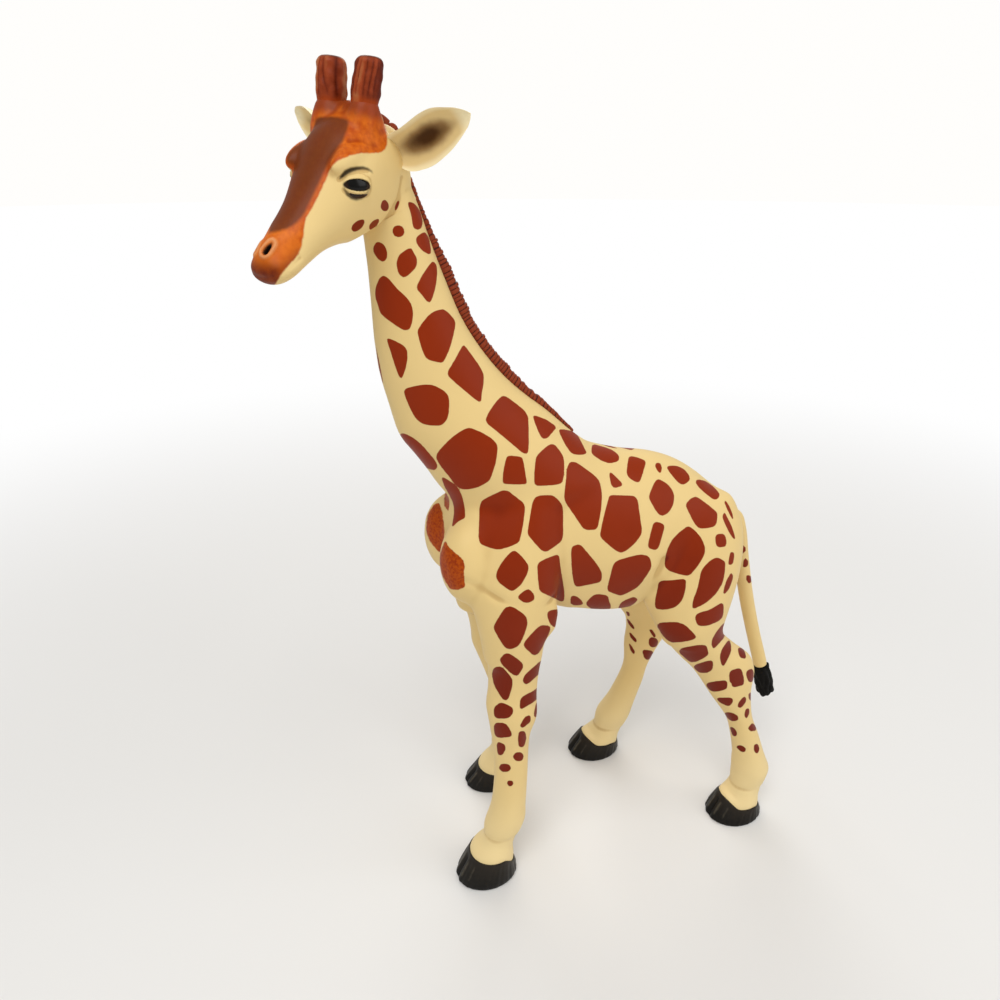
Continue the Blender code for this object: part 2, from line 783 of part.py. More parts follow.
def mane_groove_rings():
    """The channel that the mane is glued into: as wide as its root, open at the top."""
    rings = []
    half = MANE_WIDTH / 2 + GLUE_GAP
    side = Vector((1, 0, 0))
    route = mane_route()
    for point, out in route:
        floor = point - out * (MANE_ROOT + GLUE_GAP)
        crest = point + out * (MANE_PROUD + GLUE_GAP)
        rings.append([crest + side * half, floor + side * half, floor - side * half, crest - side * half])
    for end, beyond in ((0, 1), (-1, -2)):
        run = (route[end][0] - route[beyond][0]).normalized()
        rings[end] = shifted(rings[end], run * GLUE_GAP)
    return rings


def tail_root():
    """Where the tail leaves the rump, on the trunk's middle line."""
    return Vector((0, trunk_along(1.0), BELLY_HEIGHT + TRUNK_DEPTH * TAIL_ROOT_LIFT_SHARE))


def tail_spot(back, down):
    return tail_root() + Vector((0, TAIL_SWING * back, -TAIL_DROP * down))


def tail_rings(shares, count, gap=0.0):
    """Rings square to the tail's own run."""
    table = spread(shares, count)
    rings = []
    for step, (back, down, radius) in enumerate(table):
        before, after = table[max(step - 1, 0)], table[min(step + 1, count - 1)]
        run = (tail_spot(*after[:2]) - tail_spot(*before[:2])).normalized()
        across = Vector((1, 0, 0))
        size = TAIL_RADIUS * radius + gap
        rings.append(round_ring(tail_spot(back, down), across, across.cross(run), size, size, TAIL_SIDES))
    return rings


def tuft_frame():
    """End of the tail and the direction the tuft hangs in."""
    before, end = TAIL_SHARES[-2], TAIL_SHARES[-1]
    end_spot = tail_spot(*end[:2])
    return end_spot, (end_spot - tail_spot(*before[:2])).normalized()


def tuft_rings():
    end, run = tuft_frame()
    across = Vector((1, 0, 0))
    along = across.cross(run)
    rings = []
    for down, radius in TUFT_SHARES:
        ring = []
        spot = end + run * (GLUE_GAP + TUFT_LENGTH * down)
        for step in range(TUFT_SIDES):
            angle = math.tau * step / TUFT_SIDES
            lock = TUFT_LOCK_SHARE if step % 2 else 1.0
            size = TUFT_RADIUS * radius * lock
            ring.append(spot + (across * math.sin(angle) + along * math.cos(angle)) * size)
        rings.append(ring)
    return rings


def block_mesh(name, low, high, frame=None):
    """A box between two corners, for cuts."""
    mesh = bmesh.new()
    size = high - low
    shape = Matrix.Translation((low + high) / 2) @ Matrix.Diagonal((size.x, size.y, size.z, 1))
    bmesh.ops.create_cube(mesh, size=1, matrix=(frame or Matrix()) @ shape)
    data = bpy.data.meshes.new(name)
    mesh.to_mesh(data)
    mesh.free()
    return data


def ball_mesh(name, centre, size, sides):
    """A ball or an egg of the given size along each axis."""
    mesh = bmesh.new()
    shape = Matrix.Translation(centre) @ Matrix.Diagonal((size.x / 2, size.y / 2, size.z / 2, 1))
    bmesh.ops.create_uvsphere(mesh, u_segments=sides, v_segments=sides // 2, radius=1, matrix=shape)
    data = bpy.data.meshes.new(name)
    mesh.to_mesh(data)
    mesh.free()
    data.shade_smooth()
    return data


def breast_rings(side):
    """An upright egg beside the middle line of the chest, as rings from bottom to top."""
    centre = Vector((
        side * BREAST_SPACING / 2,
        trunk_along(BREAST_ALONG_SHARE),
        BELLY_HEIGHT + TRUNK_DEPTH * BREAST_LEVEL_SHARE,
    ))
    rings = []
    for step in range(1, BREAST_RINGS):
        angle = math.pi * step / BREAST_RINGS
        spot = centre - Vector((0, 0, BREAST_HEIGHT / 2 * math.cos(angle)))
        half_width, half_depth = BREAST_WIDTH / 2 * math.sin(angle), BREAST_DEPTH / 2 * math.sin(angle)
        rings.append(round_ring(spot, Vector((1, 0, 0)), Vector((0, 1, 0)), half_width, half_depth, LEG_SIDES))
    return rings


def build_trunk(figure):
    """Barrel, shoulders, haunches and neck root as one moulding, cut flat where limbs seat."""
    lofts = [trunk_rings()] + [leg.muscle_rings() for leg in LEGS]
    lofts.append(neck_rings(neck_rows()[:NECK_BLEND_ROWS], BODY_RINGS // 3))
    lofts += [breast_rings(side) for side in (1, -1)]
    trunk = figure.part("trunk", loft_mesh("trunk", *lofts), figure.cream)
    blend = trunk.modifiers.new("blend_muscles", "REMESH")
    blend.mode = "VOXEL"
    blend.voxel_size = TRUNK_GRAIN
    soften = trunk.modifiers.new("soften", "SMOOTH")
    soften.factor = SMOOTHING_SHARE
    soften.iterations = SMOOTHING_STEPS

    reach = TRUNK_WIDTH + CUT_OVERRUN
    chest, rump = trunk_along(0) - CUT_OVERRUN, trunk_along(1) + CUT_OVERRUN
    middle = trunk_along(BELLY_MIDDLE_SHARE)
    for name, height, start, end in (
        ("fore_seats", FORE_SEAT_HEIGHT, chest, middle),
        ("hind_seats", HIND_SEAT_HEIGHT, middle, rump),
    ):
        low = Vector((-reach, start, height - SHOULDER_RISE))
        box = block_mesh(name, low, Vector((reach, end, height)))
        figure.cut(trunk, figure.guide(name, box))

    centre, back, up = row_frame(neck_rows()[NECK_SEAT_ROW])
    frame = Matrix.Translation(centre) @ Matrix((Vector((1, 0, 0)), back, up)).transposed().to_4x4()
    slab = block_mesh("neck_seat", Vector((-reach, -NECK_REACH, 0)), Vector((reach, NECK_REACH, NECK_RISE)), frame)
    figure.cut(trunk, figure.guide("neck_seat", slab))
    return trunk


def build_leg(figure, trunk, leg):
    limb = figure.part("leg_" + leg.name, loft_mesh(leg.name, leg.rings()), figure.cream)
    shell = loft_mesh(leg.name + "_hoof", leg.hoof_rings())
    hoof = figure.part("hoof_" + leg.name, shell, figure.charcoal)
    seat = Vector((leg.seat_x, leg.seat_y, leg.seat_height))
    up = Vector((0, 0, 1))
    figure.peg(
        leg.name + "_hip", limb, trunk,
        seat - up * LEG_PEG_LENGTH / 2, seat - up * CUT_OVERRUN, seat + up * LEG_PEG_LENGTH, LEG_PEG_RADIUS,
    )
    seam = Vector((leg.foot_x, leg.foot_y, leg.coronet(leg.foot_y)))
    figure.peg(
        leg.name + "_hoof", limb, hoof,
        seam + up * HOOF_PIN_LENGTH, seam + up * CUT_OVERRUN, seam - up * HOOF_PIN_LENGTH, HOOF_PIN_RADIUS,
    )


def build_neck(figure, trunk):
    rows = neck_rows()
    centre, _, up = row_frame(rows[NECK_SEAT_ROW])
    rings = neck_rings(rows[NECK_SEAT_ROW:NECK_TOP_ROW + 1], NECK_RINGS)
    rings[0] = shifted(rings[0], up * GLUE_GAP)
    top_centre, _, top_up = row_frame(rows[NECK_TOP_ROW])
    rings[-1] = shifted(rings[-1], -top_up * GLUE_GAP)
    neck = figure.part("neck", loft_mesh("neck", rings), figure.cream)
    figure.peg(
        "neck_root", neck, trunk,
        centre + up * NECK_PEG_LENGTH, centre + up * CUT_OVERRUN, centre - up * NECK_PEG_LENGTH, NECK_PEG_RADIUS,
    )
    return neck


def build_head(figure, neck):
    """The head and everything set into it, in the head's own turned frame."""
    skull = bpy.data.objects.new("head_frame", None)
    figure.parts.objects.link(skull)
    skull.parent = figure.stand
    skull.matrix_local = head_matrix()
    head = figure.part("head", loft_mesh("head", head_rings()), figure.cream, skull)

    rows = neck_rows()
    collar = neck_rings(rows[NECK_TOP_ROW:], NECK_RINGS // 4)
    figure.fuse(head, figure.guide("throat_collar", loft_mesh("throat_collar", collar)))
    room = neck_rings(rows[NECK_TOP_ROW - NECK_ROOM_ROWS:NECK_TOP_ROW + 1], NECK_RINGS // 2, GLUE_GAP)
    figure.cut(head, figure.guide("neck_room", loft_mesh("neck_room", room)))
    centre, _, up = row_frame(rows[NECK_TOP_ROW])
    figure.peg(
        "head_seat", neck, head,
        centre - up * HEAD_PEG_LENGTH, centre - up * CUT_OVERRUN, centre + up * HEAD_PEG_LENGTH, HEAD_PEG_RADIUS,
    )
    for name, shares, size in (
        ("crown", CROWN_SHARES, Vector((CROWN_WIDTH, CROWN_LENGTH, CROWN_HEIGHT))),
        ("occiput", OCCIPUT_SHARES, Vector((OCCIPUT_WIDTH, OCCIPUT_LENGTH, OCCIPUT_HEIGHT))),
    ):
        swell = ball_mesh(name, head_point(*shares), size, EYE_SIDES)
        figure.fuse(head, figure.guide(name, swell, skull))
    for name, side in (("left", 1), ("right", -1)):
        ridge = head_point(side * BROW_SHARES[0], *BROW_SHARES[1:])
        ridge_size = Vector((BROW_WIDTH, BROW_LENGTH, BROW_HEIGHT))
        figure.fuse(head, figure.guide("brow_" + name, ball_mesh("brow", ridge, ridge_size, EYE_SIDES), skull))
        flare = loft_mesh("horn_flare", horn_flare_rings(side))
        figure.fuse(head, figure.guide("horn_flare_" + name, flare, skull))
        hole = head_point(side * NOSTRIL_SHARES[0], *NOSTRIL_SHARES[1:])
        hole_size = Vector((NOSTRIL_WIDTH * 2, NOSTRIL_LENGTH, NOSTRIL_WIDTH))
        figure.cut(head, figure.guide("nostril_" + name, ball_mesh("nostril", hole, hole_size, EYE_SIDES), skull))
        figure.part("horn_" + name, loft_mesh("horn", horn_rings(side)), figure.reddish, skull)
        room = loft_mesh("horn_socket_" + name, horn_rings(side, GLUE_GAP))
        figure.cut(head, figure.guide("horn_socket_" + name, room, skull))
        figure.part("ear_" + name, loft_mesh("ear", ear_rings(side)), figure.cream, skull)
        room = loft_mesh("ear_socket_" + name, ear_rings(side, GLUE_GAP)[:EAR_SOCKET_RINGS])
        figure.cut(head, figure.guide("ear_socket_" + name, room, skull))
        spot = head_point(side * EYE_SIDE_SHARE, EYE_FORWARD_SHARE, EYE_LIFT_SHARE)
        ball = Vector((1, 1, 1)) * EYE_RADIUS * 2
        figure.part("eye_" + name, ball_mesh("eye", spot, ball, EYE_SIDES), figure.soot, skull)
        room = ball_mesh("eye_socket_" + name, spot, ball + Vector((1, 1, 1)) * GLUE_GAP * 2, EYE_SIDES)
        figure.cut(head, figure.guide("eye_socket_" + name, room, skull))
    return head


def build_tail(figure, trunk):
    tail = figure.part("tail", loft_mesh("tail", tail_rings(TAIL_SHARES, TAIL_RINGS)), figure.cream)
    room = loft_mesh("tail_socket", tail_rings(TAIL_SHARES[:3], TAIL_RINGS // 2, gap=GLUE_GAP))
    figure.cut(trunk, figure.guide("tail_socket", room))
    tuft = figure.part("tail_tuft", loft_mesh("tail_tuft", tuft_rings()), figure.soot)
    end, run = tuft_frame()
    pin = TAIL_RADIUS * TAIL_PIN_SHARE
    figure.peg("tuft", tail, tuft, end - run * TAIL_RADIUS, end, end + run * TUFT_LENGTH / 3, pin)


def centre_on_floor(figure):
    """Move the figure so that the middle of its outline stands over the origin."""
    bpy.context.view_layer.update()
    graph = bpy.context.evaluated_depsgraph_get()
    spots = []
    for item in figure.parts.objects:
        if item.type == "MESH":
            shape = item.evaluated_get(graph)
            spots += [shape.matrix_world @ vertex.co for vertex in shape.data.vertices]
    low = Vector([min(spot[axis] for spot in spots) for axis in range(3)])
    high = Vector([max(spot[axis] for spot in spots) for axis in range(3)])
    figure.stand.location = Vector((-(low.x + high.x) / 2, -(low.y + high.y) / 2, -low.z))


def main():
    figure = Figure()
    trunk = build_trunk(figure)
    for leg in LEGS:
        build_leg(figure, trunk, leg)
    neck = build_neck(figure, trunk)
    head = build_head(figure, neck)
    figure.part("mane", loft_mesh("mane", mane_rings()), figure.reddish)
    for piece in (trunk, neck, head):
        groove = loft_mesh("mane_groove_" + piece.name, mane_groove_rings())
        figure.cut(piece, figure.guide("mane_groove_" + piece.name, groove))
    build_tail(figure, trunk)
    centre_on_floor(figure)


main()
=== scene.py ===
import math

import bmesh
import bpy
import mathutils
import numpy as np
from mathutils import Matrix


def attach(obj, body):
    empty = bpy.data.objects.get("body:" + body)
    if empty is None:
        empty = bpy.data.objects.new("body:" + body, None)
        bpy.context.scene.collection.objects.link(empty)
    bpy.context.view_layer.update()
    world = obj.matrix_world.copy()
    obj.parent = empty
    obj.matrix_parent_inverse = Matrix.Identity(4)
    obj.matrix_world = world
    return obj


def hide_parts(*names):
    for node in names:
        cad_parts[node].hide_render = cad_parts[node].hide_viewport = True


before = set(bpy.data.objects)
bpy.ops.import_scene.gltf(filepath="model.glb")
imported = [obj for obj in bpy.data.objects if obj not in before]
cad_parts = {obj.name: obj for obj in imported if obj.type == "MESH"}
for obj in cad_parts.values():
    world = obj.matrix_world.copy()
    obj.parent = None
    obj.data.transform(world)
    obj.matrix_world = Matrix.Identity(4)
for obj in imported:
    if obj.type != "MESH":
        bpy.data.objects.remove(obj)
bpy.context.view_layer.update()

# Trunk.
# The real trunk is a thick-walled barrel of soft vinyl. It is blown in one with the shoulder,
# haunch and breast muscles, so these start as rough rings and are eased into each other.
MM = 0.001
STAND_BACK = 4.392
TRUNK_LENGTH = 68.0
TRUNK_DEPTH = 40.0
TRUNK_WIDTH = 26.5
BELLY_HEIGHT = 58.8
TRUNK_ROWS = (
    # along, bottom, top, half width, level of the widest line
    (0.030, 0.36, 0.50, 0.30, 0.50),
    (0.050, 0.23, 0.66, 0.62, 0.50),
    (0.090, 0.12, 0.78, 0.84, 0.50),
    (0.180, 0.07, 0.90, 0.90, 0.48),
    (0.290, 0.07, 0.97, 0.92, 0.46),
    (0.390, 0.07, 0.94, 0.94, 0.44),
    (0.490, 0.03, 0.88, 0.98, 0.42),
    (0.590, 0.02, 0.83, 1.00, 0.42),
    (0.680, 0.06, 0.80, 0.98, 0.44),
    (0.780, 0.12, 0.73, 0.94, 0.48),
    (0.880, 0.16, 0.60, 0.82, 0.50),
    (0.955, 0.22, 0.46, 0.54, 0.50),
    (1.000, 0.28, 0.37, 0.24, 0.50),
)
BREAST_SPACING, BREAST_WIDTH, BREAST_DEPTH, BREAST_HEIGHT = 12.8, 11.8, 11.0, 17.5
BREAST_ALONG, BREAST_LEVEL = 0.070, 0.42


def spread(rows, count):
    """A table's rows drawn out along a smooth curve, at even steps."""
    table = np.array(rows, float)
    padded = np.vstack([table[:1], table, table[-1:]])
    place = np.linspace(0, len(table) - 1, count)
    row = np.minimum(place.astype(int), len(table) - 2)
    part = (place - row)[:, None]
    a, b, c, d = (padded[row + step] for step in range(4))
    bend = (2 * a - 5 * b + 4 * c - d) * part ** 2 + (3 * b - a - 3 * c + d) * part ** 3
    return b + ((c - a) * part + bend) / 2


def turns(sides):
    """Even steps of one full turn."""
    return np.linspace(0, math.tau, sides, endpoint=False)


def egg_ring(centre, across, up, down, sides=48):
    """A closed ring with one reach above its centre and another below it."""
    angle = turns(sides)[:, None]
    rise = np.cos(angle)
    reach = np.where(rise > 0, rise * np.array(up, float), -rise * np.array(down, float))
    return np.array(centre, float) + np.sin(angle) * np.array(across, float) + reach


def profile_ring(along, low, high, width, level):
    """A ring across the figure from its lowest to its highest place, widest at the given level."""
    waist = low + (high - low) * level
    return egg_ring((0, along, waist), (width, 0, 0), (0, 0, high - waist), (0, 0, low - waist))


def egg(middle, half, stacked):
    """Rings of an egg of three half sizes, stacked along its length (1) or up its height (2)."""
    rings = []
    for angle in np.linspace(0, math.pi, 24)[1:-1]:
        centre, reach = np.array(middle, float), np.zeros(3)
        centre[stacked] -= half[stacked] * math.cos(angle)
        reach[3 - stacked] = half[3 - stacked] * math.sin(angle)
        rings.append(egg_ring(centre, (half[0] * math.sin(angle), 0, 0), reach, -reach))
    return rings


class Blank:
    """Rough rings gathered into one solid, in millimetres, before it is eased and carved."""

    def __init__(self):
        self.points, self.faces = [], []

    def add(self, rings):
        """Take a stack of rings in, closed with a point at each end."""
        rings = np.array(rings, float)
        rows, sides = rings.shape[:2]
        base = sum(len(part) for part in self.points)
        ends = [rings[0].mean(axis=0), rings[-1].mean(axis=0)]
        self.points.append(np.vstack([rings.reshape(-1, 3), ends]))
        for row in range(rows - 1):
            for side in range(sides):
                low, turn = base + row * sides, (side + 1) % sides
                self.faces.append((low + side, low + turn, low + sides + turn, low + sides + side))
        low, high = base + rows * sides, base + (rows - 1) * sides
        for side in range(sides):
            turn = (side + 1) % sides
            self.faces.append((low, base + turn, base + side))
            self.faces.append((low + 1, high + side, high + turn))

    def skin(self, grain):
        """The outer skin of everything gathered, as even squares of the given size."""
        data = bpy.data.meshes.new("blank")
        data.from_pydata(np.vstack(self.points).tolist(), [], self.faces)
        item = bpy.data.objects.new("blank", data)
        bpy.context.scene.collection.objects.link(item)
        remesh = item.modifiers.new("skin", "REMESH")
        remesh.mode = "VOXEL"
        remesh.voxel_size = grain
        graph = bpy.context.evaluated_depsgraph_get()
        result = item.evaluated_get(graph).to_mesh()
        points = np.empty(len(result.vertices) * 3)
        result.vertices.foreach_get("co", points)
        quads = np.empty(len(result.loops), int)
        result.loops.foreach_get("vertex_index", quads)
        bpy.data.objects.remove(item, do_unlink=True)
        bpy.data.meshes.remove(data)
        return Skin(points.reshape(-1, 3), quads.reshape(-1, 4))


class Skin:
    """Points and squares of a skin that is being eased and carved."""

    def __init__(self, points, quads):
        self.points, self.quads = points, quads
        pairs = np.vstack([quads[:, [a, (a + 1) % 4]] for a in range(4)])
        self.edges = np.unique(np.sort(pairs, axis=1), axis=0)

    def sum_up(self, at, values):
        """The rows of values added up for each point that they belong to."""
        columns = [np.bincount(at, column, len(self.points)) for column in values.T]
        return np.stack(columns, axis=1)

    def around(self, values):
        """The mean of each point's neighbours."""
        one, other = self.edges.T
        total = self.sum_up(one, values[other]) + self.sum_up(other, values[one])
        count = np.bincount(self.edges.ravel(), minlength=len(self.points))
        return total / count[:, None]

    def ease(self, share, steps):
        """Let each point slide towards its neighbours by a share of the way."""
        share = np.broadcast_to(share, len(self.points))[:, None]
        for _ in range(steps):
            self.points = self.points + share * (self.around(self.points) - self.points)

    def normals(self):
        """The way out of the skin at each point."""
        a, b, c, d = (self.points[self.quads[:, corner]] for corner in range(4))
        facing = np.cross(c - a, d - b)
        total = sum(self.sum_up(self.quads[:, corner], facing) for corner in range(4))
        return total / np.maximum(np.linalg.norm(total, axis=1), 1e-12)[:, None]

    def press(self, amount):
        """Push the skin in by an amount at each point, or out where it is below zero."""
        self.points = self.points - self.normals() * amount[:, None]

    def hollows(self, full):
        """How deep each point lies below its neighbours, smoothed out, as a share of a full hollow."""
        depth = ((self.around(self.points) - self.points) * self.normals()).sum(axis=1)
        for _ in range(3):
            depth = self.around(depth[:, None])[:, 0]
        return depth / full


def trunk_along(share):
    """Place along the figure; the trunk's middle stands a little behind the floor mark."""
    return STAND_BACK + TRUNK_LENGTH * (share - 1 / 2)


body = Blank()
body.add([
    profile_ring(trunk_along(along), BELLY_HEIGHT + TRUNK_DEPTH * bottom, BELLY_HEIGHT + TRUNK_DEPTH * top,
                 TRUNK_WIDTH / 2 * width, level)
    for along, bottom, top, width, level in spread(TRUNK_ROWS, 60)
])
for side in (1, -1):
    middle = (side * BREAST_SPACING / 2, trunk_along(BREAST_ALONG), BELLY_HEIGHT + TRUNK_DEPTH * BREAST_LEVEL)
    body.add(egg(middle, (BREAST_WIDTH / 2, BREAST_DEPTH / 2, BREAST_HEIGHT / 2), 2))

# Legs.
# Each leg is a solid pour of the same vinyl, taken from a mould of its own stride, and it is
# glued by a peg under the trunk. Its muscle goes on up into the shoulder or the haunch.
FORE_SEAT_HEIGHT, HIND_SEAT_HEIGHT = 59.8, 55.3
HOOF_LENGTH, HOOF_WIDTH, HOOF_TOE = 13.4, 10.8, 0.56
FOOT_SHARE, ANKLE_SHARE = 0.095, 0.20
FORE_DEPTH, FORE_WIDTH, HIND_DEPTH, HIND_WIDTH = 13.0, 11.2, 15.4, 12.0
FORE_ALONG, HIND_ALONG, SEAT_ACROSS, FORE_FOOT_ACROSS, HIND_FOOT_ACROSS = 0.185, 0.776, 10.4, 13.1, 15.1
FORE_KNUCKLE, HIND_KNUCKLE, FORE_CREASE, HIND_CREASE = 0.250, 0.215, 0.181, 0.156
TOE_RISE, HEEL_DROP = (0.60, 0.86), (0.06, 0.36)
FORE_ROWS = (
    # height, depth and width as shares of the size at the seat, and rearward bend
    (1.000, 1.00, 1.00, 0.00),
    (0.934, 0.89, 0.91, 0.04),
    (0.870, 0.81, 0.82, 0.04),
    (0.800, 0.79, 0.76, 0.03),
    (0.740, 0.82, 0.78, 0.02),
    (0.680, 0.79, 0.79, 0.05),
    (0.607, 0.64, 0.66, 0.03),
    (0.518, 0.57, 0.60, 0.05),
    (0.434, 0.56, 0.59, 0.06),
    (0.340, 0.57, 0.62, 0.05),
    (0.285, 0.60, 0.67, 0.03),
    (0.240, 0.66, 0.72, 0.01),
    (0.200, 0.65, 0.70, 0.00),
    (0.168, 0.54, 0.62, -0.02),
    (0.145, 0.56, 0.65, -0.045),
    (0.120, 0.69, 0.77, -0.070),
    (0.095, 0.75, 0.84, -0.080),
    (0.030, 0.72, 0.81, -0.080),
)
HIND_ROWS = (
    (1.000, 1.00, 1.00, 0.00),
    (0.955, 0.90, 0.92, -0.03),
    (0.910, 0.87, 0.84, -0.02),
    (0.850, 0.92, 0.74, 0.08),
    (0.785, 0.97, 0.67, 0.21),
    (0.725, 0.90, 0.63, 0.23),
    (0.685, 0.81, 0.60, 0.21),
    (0.620, 0.64, 0.56, 0.165),
    (0.500, 0.41, 0.50, 0.14),
    (0.410, 0.43, 0.52, 0.115),
    (0.300, 0.49, 0.58, 0.05),
    (0.225, 0.59, 0.67, -0.010),
    (0.185, 0.57, 0.65, -0.005),
    (0.158, 0.51, 0.61, -0.01),
    (0.135, 0.51, 0.63, -0.035),
    (0.112, 0.60, 0.72, -0.055),
    (0.090, 0.64, 0.77, -0.060),
    (0.030, 0.61, 0.74, -0.060),
)
SHOULDER_RISE, HAUNCH_RISE = 34.0, 29.0
SHOULDER_ROWS = (
    # rise, depth, width, back shift and inward shift
    (-0.15, 0.90, 0.92, 0.00, 0.00),
    (0.00, 1.02, 1.02, 0.00, 0.00),
    (0.15, 1.19, 1.10, 0.01, 0.03),
    (0.32, 1.33, 1.18, 0.05, 0.09),
    (0.56, 1.32, 1.16, 0.15, 0.20),
    (0.80, 1.08, 1.00, 0.30, 0.34),
    (0.97, 0.70, 0.72, 0.42, 0.46),
)
HAUNCH_ROWS = (
    (-0.16, 0.84, 0.90, 0.05, 0.00),
    (0.00, 1.02, 1.02, 0.00, 0.00),
    (0.16, 1.21, 1.10, 0.00, 0.04),
    (0.33, 1.34, 1.14, 0.02, 0.09),
    (0.53, 1.36, 1.12, 0.06, 0.15),
    (0.74, 1.24, 1.02, 0.10, 0.23),
    (0.95, 0.86, 0.76, 0.14, 0.36),
)


def ramp(value, start, end):
    """Zero up to the start, one from the end on, and a smooth rise between."""
    part = np.clip((value - start) / (end - start), 0, 1)
    return part * part * (3 - 2 * part)


class Leg:
    """One leg's places and sizes, from its seat under the trunk to its hoof."""

    def __init__(self, name, side, fore, foot, ankle, hoof, bend=1.0):
        self.name, self.side, self.fore, self.hoof, self.bend = name, side, fore, hoof, bend
        self.seat_height = FORE_SEAT_HEIGHT if fore else HIND_SEAT_HEIGHT
        self.depth, self.width = (FORE_DEPTH, FORE_WIDTH) if fore else (HIND_DEPTH, HIND_WIDTH)
        self.knuckle = FORE_KNUCKLE if fore else HIND_KNUCKLE
        self.sizes = FORE_ROWS if fore else HIND_ROWS
        self.rows = spread(self.sizes, 90)
        self.muscle = spread(SHOULDER_ROWS if fore else HAUNCH_ROWS, 30)
        self.rise = SHOULDER_RISE if fore else HAUNCH_RISE
        self.seat_y = trunk_along(FORE_ALONG if fore else HIND_ALONG)
        self.seat_x = side * SEAT_ACROSS
        self.foot_x = side * (FORE_FOOT_ACROSS if fore else HIND_FOOT_ACROSS)
        self.foot_y, self.ankle_y = self.seat_y + foot, self.seat_y + ankle

    def centre(self, share, bend):
        """The leg's middle line: seat to ankle, then ankle to hoof."""
        if share > self.knuckle:
            along = self.ankle_y + (self.seat_y - self.ankle_y) * (share - self.knuckle) / (1 - self.knuckle)
        else:
            along = self.foot_y + (self.ankle_y - self.foot_y) * share / self.knuckle
        across = self.foot_x + (self.seat_x - self.foot_x) * share
        return np.array((across, along + bend * self.bend * self.depth, self.seat_height * share))

    def line(self):
        """The middle line from the floor up, for finding a height's centre."""
        spots = [self.centre(share, bend) for share, _, _, bend in self.rows[::-1]]
        return np.array([self.centre(0, 0)] + spots)

    def coronet(self, along):
        """Height of the hoof's top edge: it stands up at the toe and drops at the heel."""
        toe, flank, heel = self.hoof
        share = (self.foot_y + HOOF_LENGTH / 2 - along) / HOOF_LENGTH
        rise, drop = ramp(share, *TOE_RISE), 1 - ramp(share, *HEEL_DROP)
        return flank + (toe - flank) * rise - (flank - heel) * drop

    def ring(self, share, depth, width, bend, sides=48):
        """One ring of the leg; towards the foot it tilts to follow the hoof's top edge."""
        reach = np.array((0, self.depth * depth / 2, 0))
        centre = self.centre(max(share, FOOT_SHARE), bend)
        ring = egg_ring(centre, (self.width * width / 2, 0, 0), reach, -reach, sides)
        tilt = (1 - ramp(share, FOOT_SHARE, ANKLE_SHARE)) * min(1, (share + FOOT_SHARE) / 2 / FOOT_SHARE)
        ring[:, 2] += tilt * (self.coronet(ring[:, 1]) - self.seat_height * FOOT_SHARE)
        ring[:, 2] -= max(0, FOOT_SHARE - share) * self.seat_height * 0.5
        return ring

    def rings(self):
        """The leg itself, from its seat down into the hoof."""
        return [self.ring(*row) for row in self.rows]

    def rim(self, sides):
        """The edge where the leg enters its hoof."""
        return self.ring(FOOT_SHARE, *self.sizes[-2][1:], sides)

    def crease(self):
        """The crease under the ankle, as points round the leg."""
        share = FORE_CREASE if self.fore else HIND_CREASE
        sizes = [np.interp(share, self.rows[::-1, 0], column) for column in self.rows[::-1, 1:].T]
        ring = self.ring(share, *sizes, 16)
        return np.vstack((ring, ring[:1]))

    def muscle_rings(self):
        """The shoulder or the haunch above the seat."""
        result = []
        for up, depth, width, back, inward in self.muscle:
            reach = np.array((0, self.depth * depth / 2, 0))
            across = self.seat_x - self.side * inward * self.width
            centre = (across, self.seat_y + back * self.depth, self.seat_height + self.rise * up)
            result.append(egg_ring(centre, (self.width * width / 2, 0, 0), reach, -reach))
        return result


legs = [
    # name, side, fore, foot and ankle along, then height of the hoof's toe, flank and heel
    Leg("fore_left", 1, True, -5.9, -1.9, (6.3, 6.2, 2.8)),
    Leg("fore_right", -1, True, 3.4, 7.8, (4.9, 4.8, 3.2)),
    Leg("hind_left", 1, False, 16.4, 19.8, (5.6, 3.4, 1.8)),
    Leg("hind_right", -1, False, -7.4, -3.0, (6.3, 4.4, 2.9), 1.5),
]
for leg in legs:
    body.add(leg.rings())
    body.add(leg.muscle_rings())

# Neck.
# The neck is a tapering tube of the same vinyl, moulded with the nape's long sweep, and it is
# glued by a peg to the slanting seat above the breast. The head is glued over its top.
NECK_REACH, NECK_RISE, NECK_WIDTH = 44.0, 56.0, 22.0
NECK_ROOT_BACK, NECK_ROOT_HEIGHT = 1.0, 88.8
NAPE_FILL = (0, 0, 0, 0, 0.1, 0.3, 0.5, 0.6, 0.7, 0.7, 0.4)
NECK_SEAT_ROW, NECK_TOP_ROW = 1, 9
NECK_ROWS = (
    # throat forward, throat up, nape forward, nape up, width
    (0.705, -0.060, -0.045, 0.030, 1.06),
    (0.773, 0.050, 0.159, 0.154, 0.98),
    (0.848, 0.143, 0.284, 0.243, 0.86),
    (0.911, 0.214, 0.382, 0.304, 0.75),
    (0.957, 0.304, 0.484, 0.377, 0.65),
    (0.989, 0.402, 0.580, 0.466, 0.58),
    (1.002, 0.509, 0.664, 0.567, 0.53),
    (1.005, 0.625, 0.727, 0.681, 0.49),
    (1.009, 0.732, 0.783, 0.792, 0.46),
    (1.018, 0.832, 0.830, 0.905, 0.44),
    (1.030, 0.910, 0.868, 0.983, 0.40),
)


